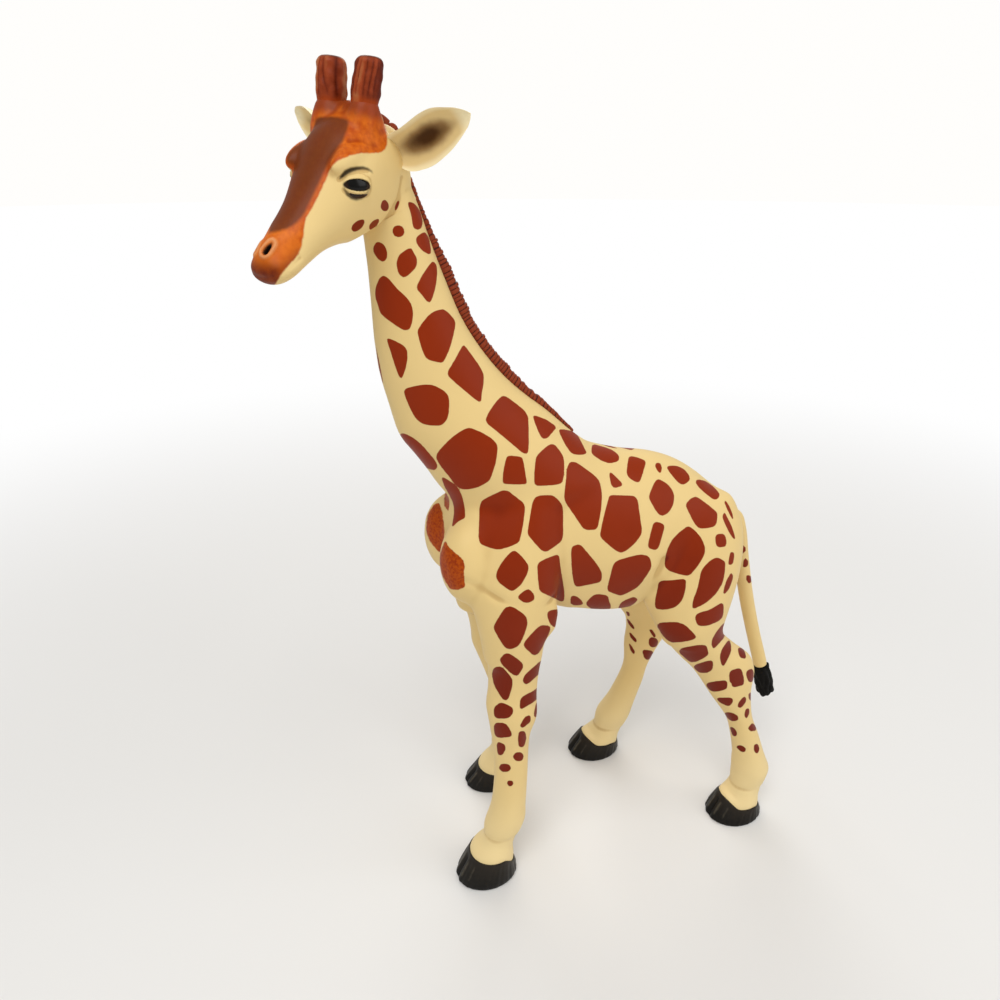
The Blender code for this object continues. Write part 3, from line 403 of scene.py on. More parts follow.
def neck_rows(fill=0):
    """Throat point, nape point and half width of each row, from the breast to the head."""
    root = np.array((0, STAND_BACK + NECK_ROOT_BACK, NECK_ROOT_HEIGHT))
    rows = []
    for throat, throat_up, nape, nape_up, width in NECK_ROWS:
        front = root + (0, -NECK_REACH * throat, NECK_RISE * throat_up)
        back = root + (0, -NECK_REACH * nape, NECK_RISE * nape_up)
        rows.append((*front, *back, NECK_WIDTH / 2 * width))
    rows = np.array(rows)
    rows[:, 4] += fill * np.array(NAPE_FILL)
    return rows


def neck_rings(first, last, count):
    """Rings of the neck between two of its rows."""
    rings = []
    for row in spread(neck_rows(1)[first:last], count):
        front, back, width = row[:3], row[3:6], row[6]
        reach = (back - front) / 2
        rings.append(egg_ring((front + back) / 2, (width, 0, 0), reach, -reach))
    return rings


def neck_seat(row):
    """Middle of a neck row, the way to the nape, and the way up the neck."""
    front, back = neck_rows()[row][:3], neck_rows()[row][3:6]
    along = (back - front) / np.linalg.norm(back - front)
    return (front + back) / 2, along, np.cross((1, 0, 0), along)


body.add(neck_rings(0, None, 90))

# Body skin.
# Trunk, neck and legs share one unbroken surface on the real figure, so they are eased and
# carved together, with folds at elbow, flank and breast, and only then parted at their seats.
BODY_GRAIN = 0.42
EASE_STEPS, LEG_EASE, BODY_EASE = 60, 0.06, 0.44
EASE_RISES, EASE_FADES, FOLD_KEEP = (52, 64), (96, 106), 2.5

# Where the photograph was taken from, which way, and its focal length and frame in pixels
PHOTO_PLACE = np.array((127.5, -57.463, 145.6))
PHOTO_TURN, PHOTO_TIP = math.radians(17.9), math.radians(24.5)
PHOTO_REACH, PHOTO_FRAME = 751.0, 1000.0
PHOTO_RIGHT = np.array((math.sin(PHOTO_TURN), math.cos(PHOTO_TURN), 0))
PHOTO_LEVEL = np.array((-math.cos(PHOTO_TURN), math.sin(PHOTO_TURN), 0))
PHOTO_AHEAD = PHOTO_LEVEL * math.cos(PHOTO_TIP) - np.array((0, 0, math.sin(PHOTO_TIP)))
PHOTO_DOWN = -PHOTO_LEVEL * math.sin(PHOTO_TIP) - np.array((0, 0, math.cos(PHOTO_TIP)))


def seen_at(points):
    """The pixels of the photograph that points in space fall on."""
    away = points - PHOTO_PLACE
    scale = PHOTO_REACH / (away @ PHOTO_AHEAD)
    across, down = away @ PHOTO_RIGHT * scale, away @ PHOTO_DOWN * scale
    return np.stack((PHOTO_FRAME / 2 + across, PHOTO_FRAME / 2 + down), axis=1)


def facing_us(points, normals):
    """One where a surface faces the photograph squarely, below zero where it faces away."""
    away = points - PHOTO_PLACE
    return -(away * normals).sum(axis=1) / np.linalg.norm(away, axis=1)


def from_span(points, start, end):
    """Distance from each point to a straight span, and how far along the span it is nearest."""
    run = end - start
    part = np.clip((points - start) @ run / max(run @ run, 1e-9), 0, 1)
    return np.linalg.norm(points - start - part[:, None] * run, axis=1), part


def from_line(points, route):
    """Distance from each point to a line through the route's points."""
    route = np.array(route, float)
    return np.min([from_span(points, start, end)[0] for start, end in zip(route, route[1:])], axis=0)


def along_line(points, route, width):
    """One on a line through the route's points, fading to nothing about a width away from it."""
    return np.exp(-(from_line(points, route) / width) ** 2)


def one_side(points, middle=0):
    """Both sides laid over the left one."""
    return np.column_stack((middle + np.abs(points[:, 0] - middle), points[:, 1:]))


FOLDS = (
    # width, depth, then points of the fold on the left side: across, along, height
    (0.9, 0.55, ((14.3, -6.9, 75.5), (14.5, -7.5, 72.8), (14, -7.9, 67.8))),
    (0.9, 0.45, (
        (12, -27.7, 74.8), (14.5, -21.2, 71.3), (15, -17.2, 69.6), (14.5, -13.2, 68.6), (13.5, -8.7, 68.8),
    )),
    (1.0, 0.60, (
        (13, 13.9, 72.8), (13.2, 12.3, 67.8), (13, 11.5, 64.2), (12.6, 11.9, 59.6), (11, 13.3, 56),
    )),
    (0.8, 0.55, (
        (3.5, -33.7, 86.8), (6.5, -32.5, 82.8), (8.5, -30.9, 77.8), (9.8, -30.3, 72.8), (10.5, -29.2, 68.8),
    )),
    (0.7, 0.60, ((0, -35.7, 84.8), (0, -36.7, 78.8), (0, -36.2, 72.8), (0, -33.7, 66.8))),
)
SWELLS = (
    # the same, pushed out: the belly, the elbows and the throat
    (5.5, 2.3, ((0, -2.5, 63.5), (6, -2.5, 64), (6, 10, 61.3), (0, 10, 61.3), (0, -2.5, 63.5))),
    (2.6, 2.4, ((13, -8.2, 64.0), (12.5, -8.8, 61.8))),
    (5.5, 1.1, ((0, -33.5, 99), (0, -31.4, 96.4), (0, -28.3, 92))),
)
CREASE_WIDTH, CREASE_DEPTH = 0.55, 0.17

skin = body.skin(BODY_GRAIN)
half, height = one_side(skin.points), skin.points[:, 2]
near_fold = np.min([from_line(half, route) for _, _, route in FOLDS], axis=0)
ease = LEG_EASE + BODY_EASE * ramp(height, *EASE_RISES) * (1 - 0.8 * ramp(height, *EASE_FADES))
skin.ease(ease * (1 - 0.75 * np.exp(-(near_fold / FOLD_KEEP) ** 2)), EASE_STEPS)
half = one_side(skin.points)
skin.press(sum(depth * along_line(half, route, width) for width, depth, route in FOLDS))
half = one_side(skin.points)
skin.press(-sum(swell * along_line(half, route, width) for width, swell, route in SWELLS))
skin.press(sum(CREASE_DEPTH * along_line(skin.points, leg.crease(), CREASE_WIDTH) for leg in legs))
skin.ease(0.3, 2)

# Patches of the body.
# The red-brown patches are sprayed through masks, so their edges are crisp, their corners a
# little round, and cream vinyl shows between them. Each outline is read off the photograph.
PATCH_REACH = 12.0


def to_left(points):
    """Factors that turn each place or direction on the right side over to the left."""
    return np.where(points[:, :1] < 0, (-1, 1, 1), (1, 1, 1))


def twin_of(points):
    """The place on the figure's left side that a point on its right side answers to."""
    twin, right = one_side(points), points[:, 0] < 0
    middle = (legs[1].seat_y + legs[3].seat_y) / 2
    for left_leg, right_leg in (legs[:2], legs[2:]):
        mine = right & ((points[:, 1] < middle) == left_leg.fore) & (points[:, 2] < left_leg.seat_height)
        lines = [leg.line() for leg in (left_leg, right_leg)]
        shift = [np.interp(points[mine, 2], line[:, 2], line[:, 1]) for line in lines]
        twin[mine, 1] += shift[0] - shift[1]
    return twin


def inside_by(spots, corners):
    """How many pixels a spot lies inside a closed outline; below zero outside it."""
    near = np.full(len(spots), np.inf)
    inside = np.zeros(len(spots), bool)
    for start, end in zip(corners, np.roll(corners, -1, axis=0)):
        near = np.minimum(near, from_span(spots, start, end)[0])
        run, off = end - start, spots - start
        crosses = (start[1] > spots[:, 1]) != (end[1] > spots[:, 1])
        slope = run[0] / run[1] if run[1] else 0
        inside ^= crosses & (off[:, 0] < slope * off[:, 1])
    return np.where(inside, near, -near)


def rounded(corners):
    """A closed outline with its corners cut off twice."""
    for _ in range(2):
        after = np.roll(corners, -1, axis=0)
        corners = np.stack((corners * 0.8 + after * 0.2, corners * 0.2 + after * 0.8), axis=1)
        corners = corners.reshape(-1, 2)
    return corners


def painted(spots, view, outlines, swell=0.35):
    """Depth inside the nearest of a set of patch outlines, read in an enlarged view."""
    left, top, enlarged = view
    depth = np.full(len(spots), -PATCH_REACH)
    for outline in outlines:
        corners = np.array(outline, float).reshape(-1, 2) / enlarged + (left, top)
        low, high = corners.min(axis=0) - PATCH_REACH, corners.max(axis=0) + PATCH_REACH
        close = np.all((spots > low) & (spots < high), axis=1)
        if close.any():
            inside = inside_by(spots[close], rounded(corners)) + swell
            depth[close] = np.maximum(depth[close], inside)
    return depth


# Each view is the left and top of a part of the photograph, and how much it was enlarged; the
# outlines are corners in that enlarged part, across and down in turn
NECK_VIEW, NECK_PATCHES = (360, 240, 7.839), (
    (105, 60, 125, 20, 155, 18, 190, 40, 213, 100, 208, 150, 180, 170, 145, 150, 110, 105),
    (290, 170, 310, 115, 360, 80, 400, 62, 420, 100, 447, 150,
     440, 210, 400, 255, 345, 297, 305, 265, 290, 210),
    (509, -67, 541, -8, 557, 96, 541, 112, 489, 83, 444, 25, 440, -21),
    (575, 165, 600, 200, 603, 270, 590, 370, 565, 460, 545, 488,
     525, 480, 480, 420, 447, 385, 450, 350, 500, 260, 545, 195),
    (185, 278, 230, 310, 290, 385, 360, 445, 405, 510, 415, 580, 405, 655, 385, 700,
     350, 708, 300, 680, 200, 610, 160, 570, 145, 515, 122, 450, 122, 380, 150, 305),
    (655, 542, 700, 580, 747, 635, 742, 690, 720, 790, 690, 880, 650, 962, 600, 955,
     530, 935, 505, 905, 470, 800, 450, 712, 490, 650, 550, 580, 600, 555),
    (207, 770, 260, 785, 345, 830, 368, 865, 370, 935,
     355, 1010, 335, 1065, 320, 1087, 300, 1055, 240, 870),
    (812, 820, 850, 870, 930, 980, 970, 1055, 965, 1130, 952, 1200,
     947, 1275, 900, 1245, 740, 1110, 678, 1050, 740, 950, 780, 875),
    (345, 1190, 360, 1165, 440, 1145, 530, 1133, 590, 1145, 660, 1185, 690, 1220, 697, 1260,
     695, 1350, 680, 1410, 640, 1450, 580, 1455, 490, 1440, 440, 1400, 400, 1330, 365, 1250),
    (321, 1502, 457, 1575, 614, 1761, 582, 1812, 430, 1740, 300, 1600),
    (60, 770, 100, 765, 130, 870, 158, 1000, 183, 1142, 150, 1142, 90, 960),
)
SHOULDER_VIEW, SHOULDER_PATCHES = (420, 400, 7.839), (
    (375, 213, 470, 250, 560, 300, 600, 345, 608, 385, 590, 500, 560, 590, 540, 635, 460, 680,
     400, 695, 340, 700, 290, 680, 240, 610, 165, 520, 122, 445, 160, 385, 260, 285),
    (655, -36, 720, 5, 845, 105, 850, 250, 850, 395, 835, 422,
     800, 410, 720, 340, 600, 240, 508, 168, 550, 80, 610, 0),
    (885, 125, 910, 125, 990, 155, 1072, 212, 1030, 260, 1000, 295, 970, 303, 950, 290, 910, 200),
    (680, 445, 700, 438, 790, 445, 805, 460, 835, 640, 830, 660, 655, 657, 650, 640, 655, 560),
    (1020, 348, 1055, 350, 1090, 395, 1120, 440, 1130, 490, 1125, 600,
     1108, 660, 930, 672, 895, 660, 903, 500, 915, 440, 970, 385),
    (670, 700, 750, 760, 825, 820, 810, 950, 790, 1060, 775, 1115, 700, 1150,
     610, 1172, 540, 1155, 460, 1120, 465, 950, 470, 800, 560, 750),
    (940, 750, 1040, 747, 1080, 780, 1118, 830, 1120, 950, 1118, 1100, 1050, 1150,
     990, 1190, 950, 1175, 900, 1120, 850, 1060, 845, 1030, 870, 880, 885, 800, 905, 765),
    (735, 1172, 800, 1230, 852, 1300, 840, 1360, 790, 1450, 725, 1500,
     680, 1475, 620, 1430, 595, 1385, 610, 1330, 660, 1250),
    (1088, 1208, 1095, 1280, 1110, 1380, 1130, 1500, 1128, 1572, 1108, 1580,
     1040, 1545, 950, 1505, 935, 1480, 925, 1380, 920, 1280, 1000, 1240),
    (165, 598, 240, 640, 300, 690, 330, 760, 350, 850, 352, 915, 340, 930,
     290, 955, 250, 1000, 262, 940, 270, 860, 260, 800, 230, 740, 195, 680),
)
FLANK_VIEW, FLANK_PATCHES = (560, 400, 7.064), (
    (-10, 212, 20, 207, 100, 225, 130, 260, 165, 330, 187, 372, 170, 383, 110, 385, 75, 370, 30, 300),
    (228, 310, 300, 330, 370, 355, 415, 390, 415, 430, 345, 448, 290, 425, 222, 380),
    (490, 397, 540, 405, 608, 430, 585, 510, 560, 585, 520, 570, 480, 540, 472, 510, 480, 440),
    (355, 508, 395, 545, 450, 602, 370, 625, 350, 540),
    (70, 440, 110, 440, 170, 480, 250, 540, 280, 580, 295, 660, 290, 760, 270, 880,
     255, 915, 175, 917, 140, 870, 80, 780, 35, 715, 32, 670, 45, 560, 50, 480),
    (350, 680, 370, 673, 500, 677, 530, 682, 548, 710, 560, 800, 577, 910, 572, 950,
     530, 1010, 465, 1065, 430, 1078, 390, 1060, 290, 975, 285, 940, 310, 830, 335, 730),
    (85, 1035, 140, 1018, 190, 1075, 260, 1160, 295, 1220, 292, 1275,
     270, 1290, 120, 1320, 100, 1300, 85, 1200, 80, 1090),
    (395, 1140, 470, 1115, 560, 1093, 620, 1100, 640, 1135, 645, 1180, 610, 1240,
     560, 1310, 500, 1350, 430, 1382, 380, 1365, 332, 1345, 350, 1270, 375, 1170),
    (680, 445, 705, 445, 720, 480, 708, 518, 690, 500, 672, 465),
    (752, 468, 820, 465, 870, 485, 910, 530, 917, 565, 880, 595, 850, 592, 820, 565, 775, 510),
    (690, 557, 740, 580, 790, 630, 806, 680, 795, 750, 760, 800,
     725, 818, 695, 805, 660, 750, 628, 690, 640, 650, 665, 590),
    (665, 855, 740, 880, 725, 940, 690, 1062, 618, 1045, 640, 950),
    (905, 890, 950, 920, 1000, 980, 1023, 1040, 1020, 1090, 980, 1160, 915, 1240,
     860, 1235, 770, 1205, 740, 1175, 745, 1110, 770, 1030, 800, 980, 850, 930),
    (960, 682, 1010, 715, 1100, 785, 1112, 810, 1100, 895,
     985, 910, 950, 870, 910, 790, 887, 740, 920, 700),
    (970, 563, 1020, 570, 1080, 610, 1130, 665, 1110, 700, 1085, 702, 1030, 660, 980, 615, 958, 580),
    (1097, 950, 1165, 945, 1178, 1035, 1105, 1040),
    (1160, 790, 1190, 850, 1215, 900, 1240, 990, 1210, 960, 1170, 880, 1148, 830),
    (1165, 710, 1190, 740, 1215, 800, 1225, 850, 1195, 800, 1165, 730),
    (1205, 1075, 1232, 1080, 1220, 1160, 1188, 1165, 1198, 1110),
    (1105, 1110, 1165, 1140, 1165, 1190, 1150, 1290, 1100, 1370,
     1020, 1440, 935, 1478, 940, 1420, 975, 1330, 1000, 1200, 1050, 1145),
    (700, 1278, 800, 1275, 890, 1262, 885, 1340, 860, 1420,
     810, 1465, 740, 1480, 675, 1475, 672, 1420, 690, 1340),
    (1210, 1220, 1225, 1250, 1190, 1340, 1155, 1375, 1160, 1330, 1180, 1270),
    (80, 1385, 110, 1385, 165, 1435, 150, 1447, 90, 1450, 75, 1420),
    (175, 1440, 245, 1370, 335, 1380, 345, 1420, 362, 1468, 320, 1490, 240, 1485),
    (410, 1485, 430, 1430, 520, 1390, 550, 1410, 520, 1440, 460, 1475),
)
FORE_VIEW, FORE_PATCHES = (450, 560, 4.612), (
    (360, 130, 388, 160, 388, 185, 350, 200, 307, 172),
    (555, 195, 580, 165, 610, 190, 605, 205, 560, 203),
    (452, 235, 520, 225, 518, 265, 505, 300, 480, 310, 460, 290, 450, 260),
    (265, 203, 350, 255, 358, 300, 320, 395, 275, 412, 250, 400, 200, 315, 210, 290),
    (415, 300, 460, 305, 462, 325, 400, 452, 338, 397, 350, 370),
    (262, 423, 335, 475, 335, 500, 305, 543, 222, 465),
    (437, 450, 435, 500, 355, 577, 335, 560, 345, 530),
    (205, 495, 240, 492, 285, 545, 288, 575, 268, 645, 245, 645, 205, 580, 193, 525),
    (412, 575, 408, 640, 330, 688, 323, 685, 325, 635, 395, 600),
    (235, 655, 288, 680, 290, 705, 270, 730, 205, 730, 203, 680),
    (410, 630, 415, 690, 400, 725, 387, 720, 393, 680),
    (205, 752, 258, 752, 285, 800, 280, 815, 215, 820, 203, 790),
    (370, 715, 372, 745, 335, 775, 323, 765, 345, 725),
    (215, 838, 250, 850, 257, 870, 240, 900, 220, 897),
    (320, 790, 345, 790, 352, 820, 340, 862, 318, 862, 314, 820),
    (305, 888, 330, 888, 340, 907, 330, 926, 302, 926, 290, 907),
    (238, 940, 268, 942, 282, 958, 270, 976, 240, 976, 225, 958),
    (268, 1018, 285, 1018, 292, 1030, 285, 1042, 270, 1042, 264, 1030),
)
HIND_VIEW, HIND_PATCHES = (630, 560, 5.6), (
    (525, 232, 520, 320, 490, 345, 430, 368, 380, 368, 365, 325, 375, 300, 450, 280),
    (142, 352, 290, 347, 375, 430, 350, 447, 280, 460, 225, 460, 185, 425),
    (535, 345, 545, 380, 530, 430, 470, 497, 458, 480, 460, 445, 490, 395),
    (258, 500, 420, 470, 438, 510, 435, 535, 370, 570, 335, 572),
    (555, 445, 565, 475, 565, 515, 520, 605, 503, 545, 515, 500),
    (350, 592, 455, 560, 465, 580, 460, 615, 430, 632, 385, 630),
    (603, 492, 635, 495, 650, 545, 640, 552, 615, 545),
    (557, 622, 622, 603, 638, 670, 635, 700, 575, 713, 570, 690, 558, 680),
    (690, 608, 692, 680, 665, 683, 652, 645, 655, 620),
    (418, 690, 535, 673, 545, 690, 540, 725, 455, 740),
    (485, 772, 570, 772, 577, 790, 560, 815, 540, 815, 500, 795),
    (610, 795, 640, 765, 650, 775, 645, 800, 620, 828, 603, 822),
    (527, 855, 570, 855, 605, 875, 605, 895, 575, 903, 550, 890),
    (650, 835, 665, 830, 668, 855, 652, 888, 640, 870),
    (560, 935, 580, 940, 598, 965, 595, 985, 575, 985),
    (685, 912, 707, 935, 703, 955, 675, 958, 660, 942),
    (593, 1045, 620, 1037, 648, 1055, 645, 1072, 625, 1075),
    (695, 1035, 715, 1030, 725, 1060, 712, 1085, 695, 1070),
    (664, 752, 672, 744, 682, 746, 686, 770, 678, 788, 668, 780),
)
FAR_VIEW, FAR_PATCHES = (560, 590, 8.71), (
    (575, 185, 600, 195, 605, 225, 590, 225),
    (580, 240, 645, 320, 645, 345, 600, 300),
    (600, 360, 665, 430, 665, 460, 620, 420),
    (600, 455, 655, 540, 640, 560, 610, 510),
    (775, 345, 800, 345, 835, 400, 820, 415),
    (775, 430, 800, 410, 840, 425, 855, 455, 840, 490, 800, 500, 775, 475),
    (715, 520, 800, 530, 815, 560, 765, 612, 735, 590),
)
BREAST_VIEW, BREAST_PATCHES = (420, 400, 7.839), (
    (200, 1105, 215, 1150, 340, 1250, 350, 1300, 340, 1380, 355, 1470,
     300, 1485, 240, 1485, 200, 1420, 165, 1350, 150, 1230, 180, 1150),
)
FAR_BREAST_PATCHES = (
    (155, 800, 185, 950, 192, 1040, 180, 1130, 158, 1200, 90, 1130, 50, 1030, 55, 920, 100, 830),
    (205, 715, 235, 790, 250, 850, 245, 915, 235, 880, 215, 860, 195, 830, 190, 780),
    (-170, 240, -90, 290, 0, 340, 145, 510, 115, 555, -10, 460, -100, 350),
)
HEAD_VIEW, THROAT_SPOTS = (240, 40, 6.03), (
    (955, 1117, 982, 1127, 991, 1153, 982, 1179, 955, 1189, 928, 1179, 919, 1153, 928, 1127),
    (1010, 975, 1050, 985, 1085, 1030, 1100, 1090, 1095, 1130, 1070, 1145, 1045, 1130, 1035, 1060),
)

# Paint of the body.
# Cream vinyl carries satin red-brown patches. The sprayed film is thin but has an edge. The cream is
# painted browner in the folds, and the patches darker in the folds and lower down: painted shade.
CREAM = (0.80, 0.590, 0.255, 1)
PALE_CREAM = (0.85, 0.680, 0.360, 1)
# the tan that the folds are painted with, as painted shade
FOLD_SHADE_TAN = (0.50, 0.30, 0.095, 1)
PATCH_RED = (0.270, 0.024, 0.0008, 1)
PATCH_DARK = (0.155, 0.011, 0.0010, 1)
BREAST_ORANGE = (0.43, 0.068, 0.001, 1)
PATCH_GAP, CELL_SIZE, CELL_TRIES = 0.55, 6.4, 6000
LEG_TOP, INNER_LEG_TOP, RUMP_LOW, RUMP_HIGH = 62, 58, 26, 100

# A painted edge's softness in pixels, the photograph's pixels to a millimetre, and how fast a
# patch ends where the skin turns away
PATCH_EDGE, PHOTO_SCALE, EDGE_TURN = 0.32, 5.2, 30


class Value:
    """A number that changes over a surface; sums on it become nodes of its finish."""

    def __init__(self, finish, socket):
        self.finish, self.socket = finish, socket

    def sum(self, operation, one, other):
        return self.finish.value("ShaderNodeMath", {"operation": operation}, {0: one, 1: other})

    def __add__(self, other):
        return self.sum("ADD", self, other)

    def __radd__(self, other):
        return self.sum("ADD", other, self)

    def __sub__(self, other):
        return self.sum("SUBTRACT", self, other)

    def __rsub__(self, other):
        return self.sum("SUBTRACT", other, self)

    def __mul__(self, other):
        return self.sum("MULTIPLY", self, other)

    def __rmul__(self, other):
        return self.sum("MULTIPLY", other, self)

    def over(self, start, end):
        """From zero at the start to one at the end."""
        sockets = {"Value": self, "From Min": start, "From Max": end, "To Min": 0, "To Max": 1}
        return self.finish.value("ShaderNodeMapRange", {"interpolation_type": "SMOOTHSTEP"}, sockets)


class Finish:
    """A paint or plastic finish, built from nodes on one glossy or matt shader."""

    def __init__(self, name, roughness, gloss=0.13):
        self.material = bpy.data.materials.new(name)
        self.material.use_nodes = True
        self.tree = self.material.node_tree
        self.shader = self.tree.nodes["Principled BSDF"]
        self.shader.inputs["Roughness"].default_value = roughness
        self.shader.inputs["Specular IOR Level"].default_value = gloss
        self.place = self.node("ShaderNodeTexCoord", {}, {}).outputs["Object"]

    def node(self, kind, settings, sockets):
        """Any node: its settings come first, then the values or links of its sockets."""
        item = self.tree.nodes.new(kind)
        for name, value in settings.items():
            setattr(item, name, value)
        for name, value in sockets.items():
            if isinstance(value, Value):
                value = value.socket
            if isinstance(value, bpy.types.NodeSocket):
                self.tree.links.new(value, item.inputs[name])
            else:
                item.inputs[name].default_value = value
        return item

    def value(self, kind, settings, sockets, output=0):
        """The number that a node gives."""
        return Value(self, self.node(kind, settings, sockets).outputs[output])

    def noise(self, size, detail=3.0):
        """Clouds of about the given size in millimetres, from zero to one."""
        sockets = {"Vector": self.place, "Scale": 1 / (size * MM), "Detail": detail}
        return self.value("ShaderNodeTexNoise", {}, sockets)

    def measure(self, name):
        """A number that was worked out for each point of the mesh."""
        return self.value("ShaderNodeAttribute", {"attribute_name": name}, {}, "Fac")

    def mix(self, share, one, other):
        """From one colour to the other by a share."""
        return self.node("ShaderNodeMix", {"data_type": "RGBA"}, {0: share, 6: one, 7: other}).outputs[2]

    def colour(self, value):
        self.tree.links.new(value, self.shader.inputs["Base Color"])

    def roughness(self, value):
        self.tree.links.new(value.socket, self.shader.inputs["Roughness"])

    def relief(self, height, depth):
        """Bump from a height between zero and one, the given depth in millimetres."""
        bump = self.node("ShaderNodeBump", {}, {"Height": height, "Distance": depth * MM, "Strength": 1.0})
        self.tree.links.new(bump.outputs[0], self.shader.inputs["Normal"])


vinyl = Finish("cream_vinyl_with_patches", 0.42)
cloud, grime, grain = vinyl.noise(22), vinyl.noise(0.5, 4), vinyl.noise(0.12, 2)
in_folds = vinyl.measure("hollow").over(0.0, 1.0)
height = vinyl.measure("height")
cream = vinyl.mix(height.over(28, 6) * 0.75, CREAM, PALE_CREAM)
# The cream is painted browner in the folds: painted shade
cream = vinyl.mix(in_folds * 0.55 + (cloud - 0.5) * 0.12, cream, FOLD_SHADE_TAN)
# The patches are painted darker in the folds and lower down as painted shade, with clouds of tone at random
darker = (cloud * 0.6 + in_folds * 0.6 + height.over(90, 40) * 0.55).over(0.15, 1.1)
red = vinyl.mix(darker, PATCH_RED, PATCH_DARK)
patch = (vinyl.measure("patch_depth") + (vinyl.noise(0.9, 2) - 0.5) * 0.7).over(-PATCH_EDGE, PATCH_EDGE)
breast = (vinyl.measure("breast_depth") + (vinyl.noise(1.2, 4) - 0.5) * 3.0).over(-0.6, 0.6)
orange = vinyl.mix(grime.over(0.35, 0.75), BREAST_ORANGE, PATCH_RED)
vinyl.colour(vinyl.mix(breast, vinyl.mix(patch, cream, red), orange))
vinyl.roughness(0.40 + grime * 0.10 - patch * 0.03)
vinyl.relief(patch * 0.5 + breast * 0.5 + grain * 0.12 + cloud * 0.1, 0.05)

points, normals = skin.points, skin.normals()
twin, twin_normals = twin_of(points), normals * to_left(points)

# The far side has the near side's patches, shifted a little above the legs
shift = np.where(points[:, 0] < 0, 1.0, 0.0) * ramp(points[:, 2], 40, LEG_TOP)
warped = twin.copy()
warped[:, 1] += shift * (1.6 * np.sin(twin[:, 2] * 0.16 + 0.8) + 0.6 * np.sin(twin[:, 2] * 0.47))
warped[:, 2] += shift * (1.3 * np.sin(twin[:, 1] * 0.19 + 1.9) + 0.5 * np.sin(twin[:, 1] * 0.53))
spots, facing = seen_at(warped), facing_us(warped, twin_normals)
patch_depth = np.max([painted(spots, view, patches) for view, patches in (
    (NECK_VIEW, NECK_PATCHES), (SHOULDER_VIEW, SHOULDER_PATCHES), (FLANK_VIEW, FLANK_PATCHES),
    (FORE_VIEW, FORE_PATCHES), (HIND_VIEW, HIND_PATCHES), (HEAD_VIEW, THROAT_SPOTS),
)], axis=0)
patch_depth = np.minimum(patch_depth, (facing - 0.04) * EDGE_TURN)
breast_depth = np.minimum(painted(spots, BREAST_VIEW, BREAST_PATCHES), facing * EDGE_TURN)

# What the photograph shows of the far side itself is painted as seen there
plain_spots, plain_facing = seen_at(points), facing_us(points, normals)
far_side = (points[:, 0] < 0) & (plain_facing > 0.02)
far_leg = far_side & (points[:, 2] < LEG_TOP) & (points[:, 1] > 0)
patch_depth[far_leg] = painted(plain_spots, FAR_VIEW, FAR_PATCHES)[far_leg]
far_breast = far_side & (points[:, 1] < trunk_along(0.16)) & (points[:, 2] > LEG_TOP)
patch_depth[far_breast] = -PATCH_REACH
breast_depth[far_breast] = painted(plain_spots, BREAST_VIEW, FAR_BREAST_PATCHES)[far_breast]

# Behind, where the photograph doesn't reach, the same kind of patches go on round the rump
behind = -facing - 0.10
rump = (facing < 0) & (normals[:, 1] > 0.05) & (points[:, 2] > RUMP_LOW) & (points[:, 2] < RUMP_HIGH)
candidates = np.flatnonzero(rump)
order = np.random.default_rng(11).permutation(candidates)
seeds = np.empty((0, 3))
for index in order[:CELL_TRIES]:
    spacing = CELL_SIZE * (0.55 + 0.45 * ramp(points[index, 2], 35, LEG_TOP))
    if not len(seeds) or np.min(np.linalg.norm(seeds - points[index], axis=1)) > spacing:
        seeds = np.vstack([seeds, points[index]])
away = np.linalg.norm(points[candidates][:, None] - seeds[None], axis=2)
first, second = np.argsort(away, axis=1)[:, :2].T
row = np.arange(len(candidates))
apart = np.linalg.norm(seeds[first] - seeds[second], axis=1)
gap = (away[row, second] ** 2 - away[row, first] ** 2) / (2 * apart)
cells = np.full(len(points), -PATCH_REACH)
cells[candidates] = (gap - PATCH_GAP) * PHOTO_SCALE
inner_leg = (points[:, 2] < INNER_LEG_TOP) & (twin_normals[:, 0] < 0.1)
cells = np.minimum(cells, behind * EDGE_TURN)
cells = np.where(inner_leg, np.minimum(cells, (twin_normals[:, 0] - 0.1) * 20), cells)
cells = np.minimum(cells, (points[:, 2] - 30) * 1.5)
patch_depth = np.maximum(patch_depth, cells)

# Parting at the seats.
# The mouldings meet in flat glue seats: slanting under the neck and level over each leg. The
# skin is cut there into the pieces that are glued up, and each cut is closed with a flat face.
BODY_HOLLOW = 0.012
BELLY_MIDDLE = trunk_along(0.45)


def finished(name, points, faces, material):
    """A smooth mesh from points in millimetres."""
    data = bpy.data.meshes.new(name)
    data.from_pydata((np.asarray(points) * MM).tolist(), [], faces)
    data.materials.append(material)
    data.shade_smooth()
    item = bpy.data.objects.new(name, data)
    bpy.context.scene.collection.objects.link(item)
    return item


def give(item, **measures):
    """Gives a mesh numbers for its paint, one for each point; points left over at its end get zero."""
    for label, values in measures.items():
        values = np.ravel(values)
        values = np.concatenate([values, np.zeros(len(item.data.vertices) - len(values))])
        store = item.data.attributes.new(label, "FLOAT", "POINT")
        store.data.foreach_set("value", values.astype(np.float32))


def set_piece(item, node):
    """Glues a piece up with the others and lets it stand for a CAD node, whose own part is hidden."""
    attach(item, "root")
    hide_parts(node)


